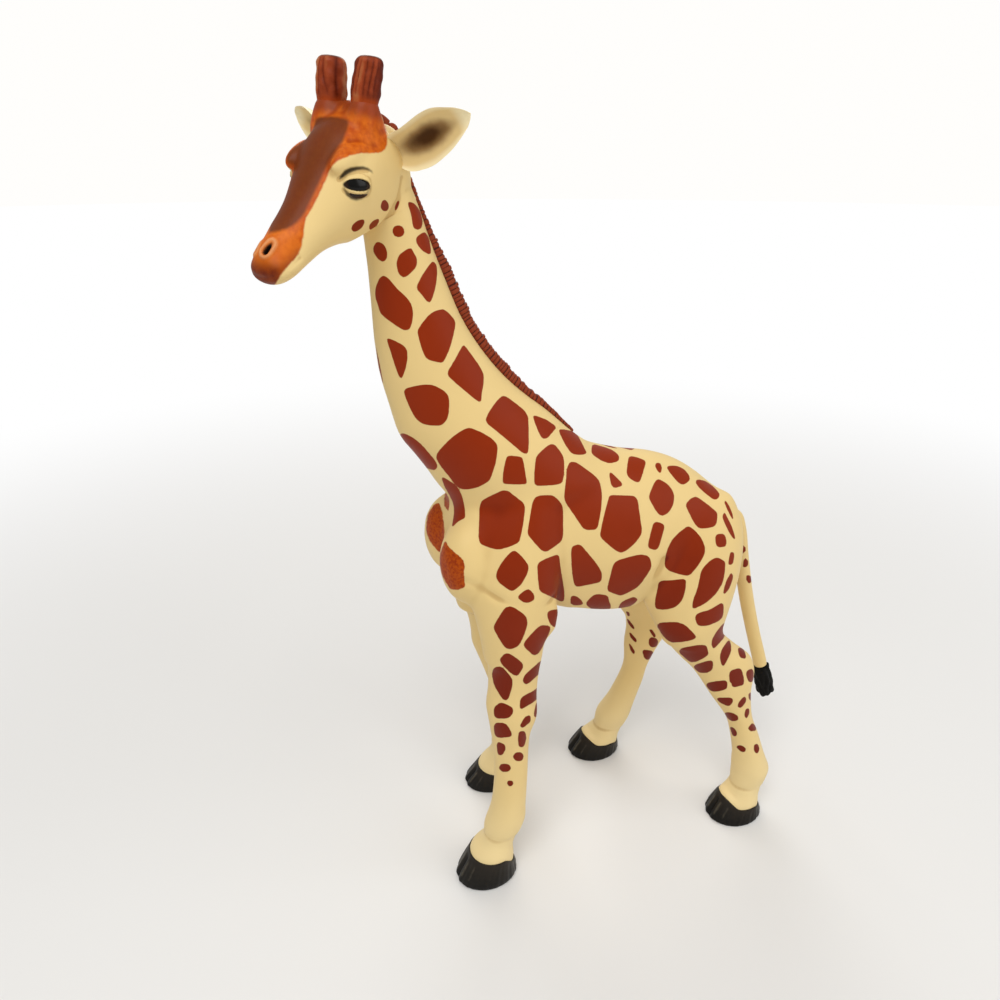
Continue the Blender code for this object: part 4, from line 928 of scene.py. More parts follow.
def parted(whole, name, cuts, node):
    """The part of a skin behind each cut; a cut is a place, the way that goes, and the half it reaches."""
    mesh = bmesh.new()
    mesh.from_mesh(whole.data)
    for place, way, fore in cuts:
        faces = [face for face in mesh.faces
                 if fore is None or (face.calc_center_median().y < BELLY_MIDDLE * MM) == fore]
        verts = dict.fromkeys(vert for face in faces for vert in face.verts)
        edges = dict.fromkeys(edge for face in faces for edge in face.edges)
        reached, spot = [*verts, *edges, *faces], np.array(place) * MM
        bmesh.ops.bisect_plane(mesh, geom=reached, plane_co=spot, plane_no=way, clear_outer=True)
    rims = [edge for edge in mesh.edges if edge.is_boundary]
    for edge in rims:
        edge.smooth = False
    for face in bmesh.ops.holes_fill(mesh, edges=rims, sides=0)["faces"]:
        face.smooth = False
    data = bpy.data.meshes.new(name)
    mesh.to_mesh(data)
    mesh.free()
    data.materials.append(whole.data.materials[0])
    piece = bpy.data.objects.new(name, data)
    bpy.context.scene.collection.objects.link(piece)
    set_piece(piece, node)


whole = finished("body_skin", points, skin.quads.tolist(), vinyl.material)
give(whole, patch_depth=patch_depth, breast_depth=breast_depth, hollow=skin.hollows(BODY_HOLLOW),
     height=points[:, 2])
throat_seat, _, neck_up = neck_seat(NECK_SEAT_ROW)
head_seat, _, head_up = neck_seat(NECK_TOP_ROW)
fore_cut, hind_cut = (0, 0, FORE_SEAT_HEIGHT), (0, 0, HIND_SEAT_HEIGHT)
parted(whole, "trunk_skin", [
    (throat_seat, neck_up, None),
    (fore_cut, (0, 0, -1), True),
    (hind_cut, (0, 0, -1), False),
], "trunk")
parted(whole, "neck_skin", [
    (throat_seat, -neck_up, None),
    (head_seat, head_up, None),
], "neck")
for leg in legs:
    parted(whole, f"leg_{leg.name}_skin", [
        (fore_cut if leg.fore else hind_cut, (0, 0, 1), None),
        ((0, BELLY_MIDDLE, 0), (0, 1 if leg.fore else -1, 0), None),
        ((0, 0, 0), (-leg.side, 0, 0), None),
    ], "leg_" + leg.name)
bpy.data.objects.remove(whole, do_unlink=True)

# Head.
# The head is one vinyl moulding, glued over the top of the neck and turned to its left. Brows,
# eyelids, nostrils and mouth are modelled in it, and its colours are brushed and sprayed on.
HEAD_GRAIN, HEAD_HOLLOW, HEAD_EASE, HEAD_EASE_STEPS = 0.18, 0.005, 0.45, 36
HEAD_TURN, HEAD_NOD, HEAD_LEAN = math.radians(36.9), math.radians(20.9), math.radians(3.6)
HEAD_LENGTH, HEAD_HEIGHT, HEAD_WIDTH = 27.2, 17.2, 13.6
HEAD_BACK, HEAD_LIFT = 1.8, 7.4
HEAD_ROWS = (
    # forward, top and underside from the eye line, half width, level of the widest line
    (-0.150, 0.02, -0.20, 0.30, 0.50),
    (-0.120, 0.12, -0.35, 0.60, 0.50),
    (-0.055, 0.29, -0.45, 0.82, 0.52),
    (0.030, 0.45, -0.49, 0.93, 0.55),
    (0.140, 0.50, -0.52, 0.97, 0.58),
    (0.260, 0.47, -0.51, 1.00, 0.60),
    (0.370, 0.38, -0.47, 0.97, 0.60),
    (0.490, 0.25, -0.41, 0.79, 0.52),
    (0.620, 0.11, -0.38, 0.65, 0.46),
    (0.760, 0.00, -0.40, 0.59, 0.45),
    (0.870, -0.06, -0.42, 0.59, 0.46),
    (0.945, -0.13, -0.41, 0.51, 0.48),
    (0.985, -0.21, -0.37, 0.35, 0.50),
    (1.000, -0.26, -0.32, 0.17, 0.50),
)
turn = mathutils.Matrix.Rotation(HEAD_TURN, 3, "Z") @ mathutils.Matrix.Rotation(HEAD_NOD, 3, "X")
HEAD_AXES = np.array(turn @ mathutils.Matrix.Rotation(HEAD_LEAN, 3, "Y"))
collar_middle, collar_back, collar_up = neck_seat(NECK_TOP_ROW)
HEAD_PLACE = collar_middle + collar_up * HEAD_LIFT + collar_back * HEAD_BACK


def off_head(points):
    """From the head's own frame to the figure's; the face looks along the head's -Y."""
    return np.asarray(points) @ HEAD_AXES.T + HEAD_PLACE


def on_head(points):
    """From the figure's frame back to the head's own."""
    return (np.asarray(points) - HEAD_PLACE) @ HEAD_AXES


HORN_SPACING, HORN_FORWARD, HORN_SHIFT = 6.45, 0.070, -0.35
HORN_SPREAD, HORN_RAKE, HORN_LEAN = math.radians(4.7), math.radians(26), math.radians(3.8)
HORN_SIDE = np.array((0, math.cos(HORN_RAKE), -math.sin(HORN_RAKE)))
HORN_FLARE = (
    # up, radius, and the left horn's share of it: the roots swell out of the crown
    (-6.0, 1.5, 1),
    (-4.2, 3.2, 1),
    (-2.4, 3.1, 0.92),
    (-1.0, 2.8, 0.92),
    (0.0, 2.5, 0.92),
    (0.7, 2.25, 0.92),
    (1.2, 1.75, 0.92),
)
BROW_BONE, BROW_BONE_SIZE = (4.55, -8.0, 4.3), (1.7, 4.8, 1.9)
CROWN, CROWN_SIZE = (0, -1.7, 6.5), (5.2, 3.2, 3.0)
POLL, POLL_SIZE = (0, 1.7, 2.1), (4.7, 3.1, 3.2)


def horn_foot(side):
    """Where a horn leaves the crown, and its direction."""
    rise = np.array((math.sin(side * HORN_SPREAD + HORN_LEAN), math.sin(HORN_RAKE), math.cos(HORN_RAKE)))
    foot = np.array((side * HORN_SPACING / 2 + HORN_SHIFT, -HEAD_LENGTH * HORN_FORWARD, HEAD_HEIGHT / 2))
    return foot, rise / np.linalg.norm(rise)


skull = Blank()
skull.add([
    profile_ring(-HEAD_LENGTH * forward, HEAD_HEIGHT * bottom, HEAD_HEIGHT * top,
                 HEAD_WIDTH / 2 * width, level)
    for forward, top, bottom, width, level in spread(HEAD_ROWS, 90)
])
skull.add([on_head(ring) for ring in neck_rings(NECK_TOP_ROW - 1, None, 12)])
for side in (1, -1):
    skull.add(egg(np.array(BROW_BONE) * (side, 1, 1), BROW_BONE_SIZE, 1))
    foot, rise = horn_foot(side)
    flare = []
    for up, size, left_share in HORN_FLARE:
        size *= left_share if side > 0 else 1
        flare.append(egg_ring(foot + rise * up, (size, 0, 0), size * HORN_SIDE, -size * HORN_SIDE))
    skull.add(flare)
skull.add(egg(CROWN, CROWN_SIZE, 1))
skull.add(egg(POLL, POLL_SIZE, 1))

EYE_MIDDLE = np.array((6.30, -10.50, 1.34))
EYE_BACK = np.array((0.444, 0.826, -0.356))
EYE_OUT = np.array((0.888, -0.400, 0.228))
EYE_UP = np.cross(EYE_OUT, EYE_BACK)
EYE_SINK, EYE_THICK, EYE_LONG, EYE_TALL, EYE_REACH = 1.05, 1.50, 2.30, 2.00, 4.6
LID_LONG, LID_RISE, LID_DROP, LID_THICK = 1.82, 0.82, 0.68, 0.36
MUZZLE_MIDDLE, MUZZLE_TAPER = -0.45, 0.36
NOSTRIL = ((1.12, -24.35, -1.15), (0.90, -24.90, -1.60), (0.68, -25.40, -2.05))
NOSTRIL_WIDTH, NOSTRIL_DEPTH = 0.36, 1.1
FLANGE_OUT, FLANGE_WIDTH, FLANGE_RISE = 0.80, 0.26, 0.24
MOUTH = ((0, -27.3, -5.3), (1.6, -26.9, -5.1), (2.8, -25.9, -4.8), (3.55, -24.0, -4.5), (3.75, -22.4, -4.1))
JAW = ((3.2, -4.9, -7.6), (4.06, -5.71, -6.96), (4.89, -4.71, -6.41), (5.9, -2.3, -4.3), (6.2, -0.9, -1.6))
HEAD_FOLDS = (
    # width, depth and points of the upper lid's fold, the lower lid's, the brow's, the mouth and the jaw
    (0.30, 0.30, ((4.85, -12.2, 2.75), (5.50, -11.0, 3.35), (6.20, -9.7, 3.25), (6.75, -8.0, 2.45))),
    (0.34, 0.13, ((5.35, -12.3, 1.30), (6.05, -11.5, 0.15), (6.50, -10.2, -0.05), (6.75, -9.0, 0.55))),
    (0.75, 0.22, ((4.3, -7.5, 6.4), (4.7, -7.0, 6.3), (5.3, -6.3, 5.9), (5.8, -5.5, 5.2), (6.0, -4.6, 4.8))),
    (0.40, 0.14, MOUTH),
    (0.55, 0.34, JAW),
)


def lid_opening(off):
    """Zero at the middle of the eye, one along the edge of its lids, and more outside them."""
    up = off @ EYE_UP
    return np.hypot(off @ EYE_BACK / LID_LONG, up / np.where(up > 0, LID_RISE, LID_DROP))


skin = skull.skin(HEAD_GRAIN)
seat_rise = (skin.points - on_head(collar_middle)) @ (collar_up @ HEAD_AXES)
near_jaw = along_line(one_side(skin.points), JAW, 1.2)
skin.ease(HEAD_EASE * ramp(seat_rise, -1.0, 1.5) * (1 - 0.7 * near_jaw), HEAD_EASE_STEPS)
snout = ramp(-skin.points[:, 1], 20.0, 24.5) * ramp(skin.points[:, 2], -5.5, -1.5)
skin.points[:, 0] *= 1 - MUZZLE_TAPER * snout

# The lids stand round the eyeball's place, and the skin inside them lies behind it
mirror = to_left(skin.points)
off = one_side(skin.points) - EYE_MIDDLE
back, up, out = off @ EYE_BACK, off @ EYE_UP, off @ EYE_OUT
opening = lid_opening(off)
ball = EYE_THICK * np.sqrt(np.clip(1 - (back / EYE_LONG) ** 2 - (up / EYE_TALL) ** 2, 0, 1)) - EYE_SINK
corner = ramp(np.abs(back), 1.7, 2.6)
lid = ball + LID_THICK * (1 - ramp(opening, 1.3, 2.0)) - 2 * ramp(opening, 1.7, 2.4) - 1.2 * corner
wanted = np.where(opening < 1, ball - 0.5, np.maximum(out, lid))
close = (np.linalg.norm(off, axis=1) < EYE_REACH) & (opening < 2.4)
skin.points += mirror * EYE_OUT * np.where(close, wanted - out, 0)[:, None]

half = one_side(skin.points)
from_nostril = from_line(one_side(skin.points, MUZZLE_MIDDLE), NOSTRIL)
pit = 1 - ramp(from_nostril, 0.40, 0.54)
flange = np.exp(-((from_nostril - FLANGE_OUT) / FLANGE_WIDTH) ** 2)
skin.press(
    sum(depth * along_line(half, route, width) for width, depth, route in HEAD_FOLDS)
    + NOSTRIL_DEPTH * np.exp(-(from_nostril / NOSTRIL_WIDTH) ** 4) - FLANGE_RISE * flange
)
skin.ease(0.25, 2)

# The head's paint, worked out for each point from where it shows in the photograph
BROW_ORANGE = (
    (850, 440, 885, 560, 885, 640, 850, 680, 700, 680, 600, 720, 550, 760, 500, 880, 440, 1000, 390, 1080,
     380, 1200, 353, 1292, 261, 1388, 230, 1442, 150, 1560, -150, 1500, -150, 200, 850, 200),
)
NOSE_BAND = (
    (660, 485, 650, 540, 628, 600, 575, 680, 530, 750, 482, 860, 430, 960, 390, 1050, 335, 1115, 262, 1150,
     100, 1180, 100, 830, 290, 800, 316, 700, 322, 620, 350, 560, 392, 520, 430, 480, 500, 452, 620, 465),
)
LASHES = (
    # place, half width and strength, along the upper lid and then the lower one
    ((596, 846, 4, 0.2), (610, 826, 9, 0.9), (640, 797, 15, 1), (670, 782, 14, 1), (705, 774, 12, 0.9),
     (740, 771, 11, 0.8), (770, 778, 9, 0.7), (792, 792, 8, 0.6), (804, 808, 6, 0.2)),
    ((618, 870, 5, 0.2), (632, 905, 9, 0.6), (650, 932, 12, 0.75), (675, 948, 14, 0.85), (702, 955, 14, 0.85),
     (730, 950, 13, 0.7), (760, 932, 11, 0.5), (782, 902, 9, 0.35), (790, 870, 7, 0.2)),
)
CHEEK_SPOTS = (
    (850, 1000, 858, 972, 875, 964, 893, 985, 896, 1010, 885, 1030, 865, 1030, 852, 1015),
    (935, 1030, 935, 1005, 948, 975, 960, 968, 957, 990, 948, 1015),
    (672, 1140, 680, 1115, 710, 1090, 745, 1082, 750, 1100, 735, 1130, 705, 1152, 685, 1155),
    (780, 1140, 782, 1115, 805, 1090, 835, 1078, 837, 1095, 820, 1125, 800, 1145),
)
COLLAR_REACH, BROW_BACK, CROWN_LEVEL, JAW_LEVEL = 7.2, -3.0, 4.6, -5.0


def brushed_on(spots, view, strokes):
    """How strongly brush strokes cover each spot; a stroke's points are place, half width and strength."""
    left, top, enlarged = view
    spots = (spots - (left, top)) * enlarged
    cover = np.zeros(len(spots))
    for stroke in np.array(strokes, float):
        for start, end in zip(stroke, stroke[1:]):
            away, part = from_span(spots, start[:2], end[:2])
            width, strength = (start[axis] + (end[axis] - start[axis]) * part for axis in (2, 3))
            cover = np.maximum(cover, strength * (1 - ramp(away / width, 0.1, 1.9)))
    return cover


points, normals = off_head(skin.points), skin.normals()
half = one_side(skin.points)
seen, facing = seen_at(off_head(half)), facing_us(off_head(half), (normals * mirror) @ HEAD_AXES.T)
lash = np.where((facing > 0.05) & (half[:, 0] > 3), brushed_on(seen, HEAD_VIEW, LASHES), 0)
off = half - EYE_MIDDLE
lid_edge = np.where(np.linalg.norm(off, axis=1) < EYE_REACH, 1 - ramp(lid_opening(off), 1.02, 1.22), 0)
lash = np.maximum(lash, lid_edge)

# The muzzle's paint lies about the muzzle's own middle; it goes on over the crown behind the brow
face = one_side(skin.points, MUZZLE_MIDDLE)
face_seen = seen_at(off_head(face))
band = painted(face_seen, HEAD_VIEW, NOSE_BAND)
orange = np.minimum(painted(face_seen, HEAD_VIEW, BROW_ORANGE), (facing + 0.05) * 40)
over_crown = (face[:, 2] - CROWN_LEVEL) * 5 - np.abs(face[:, 0]) * 3
orange = np.where(skin.points[:, 1] > BROW_BACK, np.maximum(orange, over_crown), orange)
orange = np.where(face[:, 2] < JAW_LEVEL, np.minimum(orange, (facing + 0.02) * 60), orange)

# Cheek and collar carry small red-brown spots
spots = np.minimum(painted(seen, HEAD_VIEW, CHEEK_SPOTS), facing * EDGE_TURN)
neck_axis = from_line(points, [(row[:3] + row[3:6]) / 2 for row in neck_rows()[NECK_TOP_ROW - 1:]])
twin = twin_of(points)
collar_facing = facing_us(twin, (normals @ HEAD_AXES.T) * to_left(points))
collar_spots = np.minimum(painted(seen_at(twin), HEAD_VIEW, THROAT_SPOTS), collar_facing * EDGE_TURN)
on_collar = (neck_axis < COLLAR_REACH) & (half[:, 2] < -1)
spots = np.maximum(spots, np.where(on_collar, collar_spots, -PATCH_REACH))
horn_red = np.zeros(len(points))
for foot, rise in (horn_foot(1), horn_foot(-1)):
    up = (skin.points - foot) @ rise
    near = np.linalg.norm(skin.points - foot - up[:, None] * rise, axis=1)
    horn_red = np.maximum(horn_red, ramp(up, -2.2, 0.4) * (1 - ramp(near, 2.8, 4.6)))
muzzle_tip = ramp(-half[:, 1], 24.0, 26.6) * ramp(-half[:, 2], 2.2, 4.4)
lip = np.maximum(muzzle_tip, 0.8 * along_line(half, MOUTH, 1.2))

ORANGE, ORANGE_BRUSH_AND_HIGHLIGHT = (0.44, 0.058, 0.001, 1), (0.74, 0.175, 0.010, 1)
HORN_DARK, HORN_LIGHT, HORN_TAN = (0.105, 0.009, 0.001, 1), (0.34, 0.055, 0.014, 1), (0.50, 0.200, 0.075, 1)
NOSE_BROWN, LIP_RED, SOOT = (0.135, 0.027, 0.004, 1), (0.115, 0.007, 0.001, 1), (0.008, 0.006, 0.005, 1)
coat = Finish("painted_head", 0.42, 0.15)
cloud, grime, grain = coat.noise(4.5, 3), coat.noise(0.8, 4), coat.noise(0.12, 2)
in_folds = coat.measure("hollow").over(0.0, 1.0)
# The cream is painted browner and the orange redder in the folds: painted shade
cream = coat.mix(in_folds * 0.5 + (cloud - 0.5) * 0.10, CREAM, FOLD_SHADE_TAN)
# Streaks of a brighter orange, at random
brushed = coat.mix((cloud * 0.6 + grime * 0.5).over(0.35, 0.80), ORANGE, ORANGE_BRUSH_AND_HIGHLIGHT)
brushed = coat.mix(in_folds * 0.6, brushed, PATCH_RED)
orange_edge = (coat.measure("orange") + (grime - 0.5) * 2.4).over(-1.2, 1.2)
band_edge = (coat.measure("band") + (grime - 0.5) * 3.0).over(-1.6, 3.2)
nose = (coat.measure("snout") + (cloud - 0.5) * 0.5).over(0.2, 0.8)
# The snout is painted a brighter orange: a painted highlight
brushed = coat.mix(nose * (0.35 + grime * 0.5), brushed, ORANGE_BRUSH_AND_HIGHLIGHT)
brushed = coat.mix(coat.measure("flange") * nose * 0.28, brushed, PALE_CREAM)
horn_edge = (coat.measure("horn_red") + (grime - 0.5) * 0.9).over(0.12, 1.0)
brushed = coat.mix(horn_edge * 0.85, brushed, coat.mix(cloud * 0.6 + grime * 0.3, HORN_LIGHT, HORN_DARK))
red = coat.mix(cloud, PATCH_RED, PATCH_DARK)
tone = coat.mix(orange_edge, cream, brushed)
tone = coat.mix(band_edge * (0.78 + cloud * 0.25) * orange_edge, tone, NOSE_BROWN)
tone = coat.mix(coat.measure("lip") * orange_edge * (0.6 + grime * 0.5), tone, LIP_RED)
tone = coat.mix(coat.measure("patch_depth").over(-PATCH_EDGE, PATCH_EDGE), tone, red)
tone = coat.mix(coat.measure("lash").over(0.05, 0.95) * 0.93, tone, SOOT)
coat.colour(coat.mix(coat.measure("pit"), tone, SOOT))
coat.roughness(0.41 + grime * 0.12 - orange_edge * 0.06)
coat.relief(orange_edge * 0.3 + grime * 0.3 + grain * 0.10, 0.05)
whole = finished("head_skin", points, skin.quads.tolist(), coat.material)
give(whole, orange=orange, band=band, patch_depth=spots, lash=lash, pit=pit, lip=lip, flange=flange,
     snout=ramp(-half[:, 1], 19.0, 23.5), horn_red=horn_red, hollow=skin.hollows(HEAD_HOLLOW))
parted(whole, "head", [(head_seat, -head_up, None)], "head")
bpy.data.objects.remove(whole, do_unlink=True)

# Eyes.
# Each eye is a black glossy bead, flat like a lens, set behind the lids from inside.
EYE_SIDES = 48
EYE_BLACK, EYE_BROWN = (0.002, 0.0015, 0.001, 1), (0.040, 0.016, 0.006, 1)
bead_gloss = Finish("eye_gloss", 0.16, 0.25)
speck = bead_gloss.noise(0.6, 3)
iris = (bead_gloss.measure("iris") + (speck - 0.5) * 0.2).over(0.50, 0.85)
bead_gloss.colour(bead_gloss.mix(iris, EYE_BLACK, EYE_BROWN))
bead_gloss.roughness(0.16 + speck * 0.08)


def closed(name, rings, material):
    """A smooth closed piece from rings, with a point at each end."""
    shape = Blank()
    shape.add(rings)
    return finished(name, np.vstack(shape.points), shape.faces, material)


turn = turns(EYE_SIDES)[:, None]
disc = np.cos(turn) * EYE_BACK * EYE_LONG + np.sin(turn) * EYE_UP * EYE_TALL
angles = np.linspace(0, math.pi, 26)[1:-1]
for name, side in (("left", 1), ("right", -1)):
    rings = []
    for angle in angles:
        ring = EYE_MIDDLE + EYE_OUT * (EYE_THICK * math.cos(angle) - EYE_SINK) + math.sin(angle) * disc
        rings.append(off_head(ring * (side, 1, 1)))
    eye = closed("eye_" + name, rings[::side], bead_gloss.material)
    give(eye, iris=[np.full(EYE_SIDES, math.sin(angle)) for angle in angles[::side]])
    set_piece(eye, "eye_" + name)

# Horns.
# The two horns are short fluted pegs, pushed into the crown and painted red-brown with darker
# flat tops. Their flutes imitate the hair. Painted shade makes the grooves darker than the ridges, and
# painted light makes part of each horn's round, and the right horn as a whole, lighter.
HORN_LENGTH, HORN_RADIUS, HORN_ROOT = 9.4, 2.06, 0.30
HORN_SIDES, HORN_FLUTES, FLUTE_DEPTH = 120, 11, 0.085

# The left horn (1) is a little slimmer than the right one (-1)
HORN_SLIM = {1: 0.865, -1: 0.93}
HORN_ROWS = (
    # up, radius
    (0.00, 0.90), (0.20, 1.10), (0.36, 1.19), (0.50, 1.21), (0.70, 1.18), (0.88, 1.14),
    (0.945, 1.09), (0.98, 0.98), (1.00, 0.80), (1.008, 0.50), (1.010, 0.2),
)
HORN_TOP = (0.060, 0.022, 0.008, 1)
horn_coat = Finish("horn_paint", 0.45)
grime, streak = horn_coat.noise(0.9, 4), horn_coat.noise(2.6, 3)
ridge, worn = horn_coat.measure("ridge"), horn_coat.measure("worn")
# Painted shade keeps the grooves darker than the ridges; painted light makes the lit parts lighter
tone = horn_coat.mix((ridge * 0.45 + grime * 0.5 + worn * 0.8).over(0.45, 1.35), HORN_DARK, HORN_LIGHT)
tone = horn_coat.mix((worn + ridge * 0.25 + (streak - 0.5) * 0.8).over(0.85, 1.25) * 0.65, tone, HORN_TAN)
brushed = (horn_coat.measure("foot") + (streak - 0.5) * 0.6).over(0.15, 0.95) * 0.55
tone = horn_coat.mix(brushed, tone, ORANGE)
tone = horn_coat.mix(horn_coat.measure("tip") * (0.4 + grime * 0.8), tone, HORN_TOP)
horn_coat.colour(tone)
horn_coat.roughness(0.36 + grime * 0.18)
horn_coat.relief(grime * 0.6 + ridge * 0.4, 0.06)
turn = turns(HORN_SIDES)
across = np.cos(turn)[:, None] * HORN_SIDE + np.sin(turn)[:, None] * np.array((1, 0, 0))
for name, side in (("left", 1), ("right", -1)):
    foot, rise = horn_foot(side)
    foot = foot - rise * HORN_LENGTH * HORN_ROOT
    rings, ridges, feet, tips, lit_sides_and_streaks = [], [], [], [], []
    for up, radius in spread(HORN_ROWS, 70):
        wander = turn + 0.08 * math.sin(up * 7 + side) + 0.22 * np.sin(turn * 2 + side)
        wander += 0.10 * np.sin(turn * 5 + up * 3)
        fluted = ramp(up, 0.36, 0.52) * min(1, (1.02 - up) * 9)
        flute = 1 - fluted * (1 - np.abs(np.cos(wander * HORN_FLUTES / 2)) ** 0.6)
        knots = fluted * (0.018 * np.sin(up * 21 + turn * 5) + 0.015 * np.sin(up * 33 - turn * 4))
        grooves = FLUTE_DEPTH * (1 - flute * fluted)
        size = HORN_RADIUS * radius * HORN_SLIM[side] * (1 - grooves + knots)
        rings.append(off_head(foot + rise * HORN_LENGTH * up + across * size[:, None]))
        ridges.append(flute)
        feet.append(np.full(HORN_SIDES, 1 - ramp(up, 0.34, 0.52)))
        tips.append(np.full(HORN_SIDES, ramp(up, 0.955, 1.0)))
        # Part of each horn's round, and the right horn as a whole, is painted lighter as lit: painted light;
        # it also places tan streaks
        wear = 0.3 * np.sin(turn * 2 + 1.1 * side + up * 1.5) + 0.2 * np.sin(turn * 5 - side)
        lit_sides_and_streaks.append(0.5 + wear - 0.15 * side)
    horn = closed("horn_" + name, rings, horn_coat.material)
    give(horn, ridge=ridges, foot=feet, tip=tips, worn=lit_sides_and_streaks)
    set_piece(horn, "horn_" + name)

# Ears.
# Each ear is a cupped leaf of cream vinyl, glued into the side of the skull. Its hollow faces
# forward and is painted brown, darkest in its middle, as painted shade; its rim and tip are painted paler as
# painted light.
EAR_LENGTH, EAR_WIDTH, EAR_CUP, EAR_WALL = 15.0, 8.0, 2.3, 0.50
EAR_RAISE, EAR_SWEEP = {1: math.radians(22), -1: math.radians(18)}, math.radians(20)
EAR_LOWER, EAR_SIDES = {1: 1.0, -1: 0.85}, 72
EAR_FOOT = (HEAD_WIDTH / 2 * 0.64, -HEAD_LENGTH * 0.02, HEAD_HEIGHT * 0.06)
EAR_ROWS = (
    # along, lower and upper edge from the middle line, cup
    (0.00, 0.15, 0.25, 0.30),
    (0.06, 0.36, 0.52, 0.55),
    (0.13, 0.60, 0.74, 0.85),
    (0.205, 0.74, 0.80, 1.00),
    (0.29, 0.81, 0.79, 1.10),
    (0.36, 0.85, 0.81, 1.15),
    (0.44, 0.86, 0.84, 1.15),
    (0.51, 0.83, 0.87, 1.12),
    (0.575, 0.79, 0.88, 1.06),
    (0.64, 0.74, 0.87, 1.00),
    (0.70, 0.68, 0.83, 0.90),
    (0.76, 0.60, 0.74, 0.80),
    (0.82, 0.51, 0.62, 0.68),
    (0.885, 0.40, 0.48, 0.50),
    (0.93, 0.31, 0.35, 0.36),
    (0.965, 0.20, 0.22, 0.20),
    (0.99, 0.10, 0.10, 0.10),
    (1.00, 0.04, 0.04, 0.05),
)
EAR_LIT_RIM, EAR_SHADE_BROWN, EAR_SHADE_DARK = (0.96, 0.83, 0.52, 1), (0.32, 0.185, 0.070, 1), (0.070, 0.024, 0.003, 1)
ear_coat = Finish("ear_vinyl", 0.45)
shade = ear_coat.measure("shade") + (ear_coat.noise(1.6, 3) - 0.5) * 0.25
# The whole ear is painted a little paler, and its rim and tip much paler, as lit: painted light
tone = ear_coat.mix(ear_coat.measure("rim") * 0.85 + 0.15, CREAM, EAR_LIT_RIM)
# The hollow is painted brown, darkest in its middle: painted shade
tone = ear_coat.mix(shade.over(0.05, 0.70), tone, EAR_SHADE_BROWN)
ear_coat.colour(ear_coat.mix(shade.over(0.50, 1.10), tone, EAR_SHADE_DARK))
ear_coat.roughness(0.42 + ear_coat.noise(0.6, 3) * 0.12)
ear_coat.relief(ear_coat.noise(0.15, 2), 0.02)
turn = turns(EAR_SIDES)
reach = np.cos(turn)
for name, side in (("left", 1), ("right", -1)):
    level, rise = math.cos(EAR_RAISE[side]), math.sin(EAR_RAISE[side])
    run = np.array((side * level * math.cos(EAR_SWEEP), level * math.sin(EAR_SWEEP), rise))
    front = np.array((run[1] * side, -run[0] * side, 0))
    front /= np.linalg.norm(front)
    tall = np.cross(run, front) * side
    rings, shades, rims = [], [], []
    for along, lower, upper, cup in spread(EAR_ROWS, 80):
        edge = np.where(reach > 0, lower * EAR_LOWER[side], upper) * EAR_WIDTH / 2 * reach
        wall = EAR_WALL * (0.35 + 0.65 * np.sqrt(np.clip(1 - reach ** 2, 0, 1)))
        wall *= min(1, 0.25 + (1.005 - along) * 9)
        bowl = EAR_CUP * cup * np.abs(reach) ** 2.2 - EAR_CUP * cup * 0.5
        depth = bowl + np.sin(turn) * wall + 0.9 * along ** 2
        middle = np.array(EAR_FOOT) * (side, 1, 1) + run * EAR_LENGTH * along
        rings.append(off_head(middle + edge[:, None] * tall + depth[:, None] * front))
        off = np.hypot((along - 0.45 - 0.07 * reach) / 0.50, (reach + 0.02) / 0.84)
        shades.append((np.sin(turn) > 0) * (1 - ramp(off, 0.0, 1.0)) * 1.18)
        rims.append(np.maximum(ramp(np.abs(reach), 0.72, 0.96), ramp(along, 0.80, 0.92)))
    ear = closed("ear_" + name, rings, ear_coat.material)
    give(ear, shade=shades, rim=rims)
    set_piece(ear, "ear_" + name)

# Mane.
# The mane is a flexible strip moulded in short uneven ribs, painted dark red-brown and glued
# into a groove from the back of the crown to the withers.
MANE_WIDTH, MANE_PROUD, MANE_ROOT, MANE_RIBS = 1.7, 1.10, 0.8, 88
MANE_PLACES = (0, 0.02, 0.08, 0.13, 0.24, 0.30, 0.42, 1)
MANE_STAND = (0.6, 1.2, 1.2, 0.5, 0.5, 0.85, 1.6, 1.6)
MANE_BREADTH = (1, 1, 1, 0.8, 0.8, 1, 1.8, 1.8)
MANE_CROWN = ((-0.075, 0.345), (-0.132, 0.288), (-0.177, 0.205), (-0.206, 0.122))
MANE_RIB = ((0.02, 0.84), (0.12, 0.94), (0.28, 0.99), (0.50, 1.01), (0.72, 0.99), (0.88, 0.94), (0.98, 0.84))
MANE_SECTION = (
    # across, up, and how far the crest's colour reaches down
    (0, 1.0, 1),
    (0.42, 0.93, 1),
    (0.74, 0.66, 0.98),
    (0.88, 0.25, 0.92),
    (0.92, -0.1, 0.8),
    (0.80, -0.5, 0.3),
    (0, -0.55, 0),
    (-0.80, -0.5, 0.3),
    (-0.92, -0.1, 0.8),
    (-0.88, 0.25, 0.92),
    (-0.74, 0.66, 0.98),
    (-0.42, 0.93, 1),
)
crown = [off_head((0, -HEAD_LENGTH * forward, HEAD_HEIGHT * lift)) for forward, lift in MANE_CROWN]
nape = neck_rows(1)[NECK_TOP_ROW:NECK_SEAT_ROW - 1:-1, 3:6]
luck = np.random.default_rng(5)
route = spread([*crown, *nape], 2000)
length = np.concatenate([[0], np.cumsum(np.linalg.norm(np.diff(route, axis=0), axis=1))])
pitch = np.cumsum(0.7 + 0.6 * luck.random(MANE_RIBS))
pitch = np.concatenate([[0], pitch / pitch[-1]])


def on_route(place):
    """The spot on the nape's line at a length along it."""
    return np.array([np.interp(place, length, route[:, axis]) for axis in range(3)])


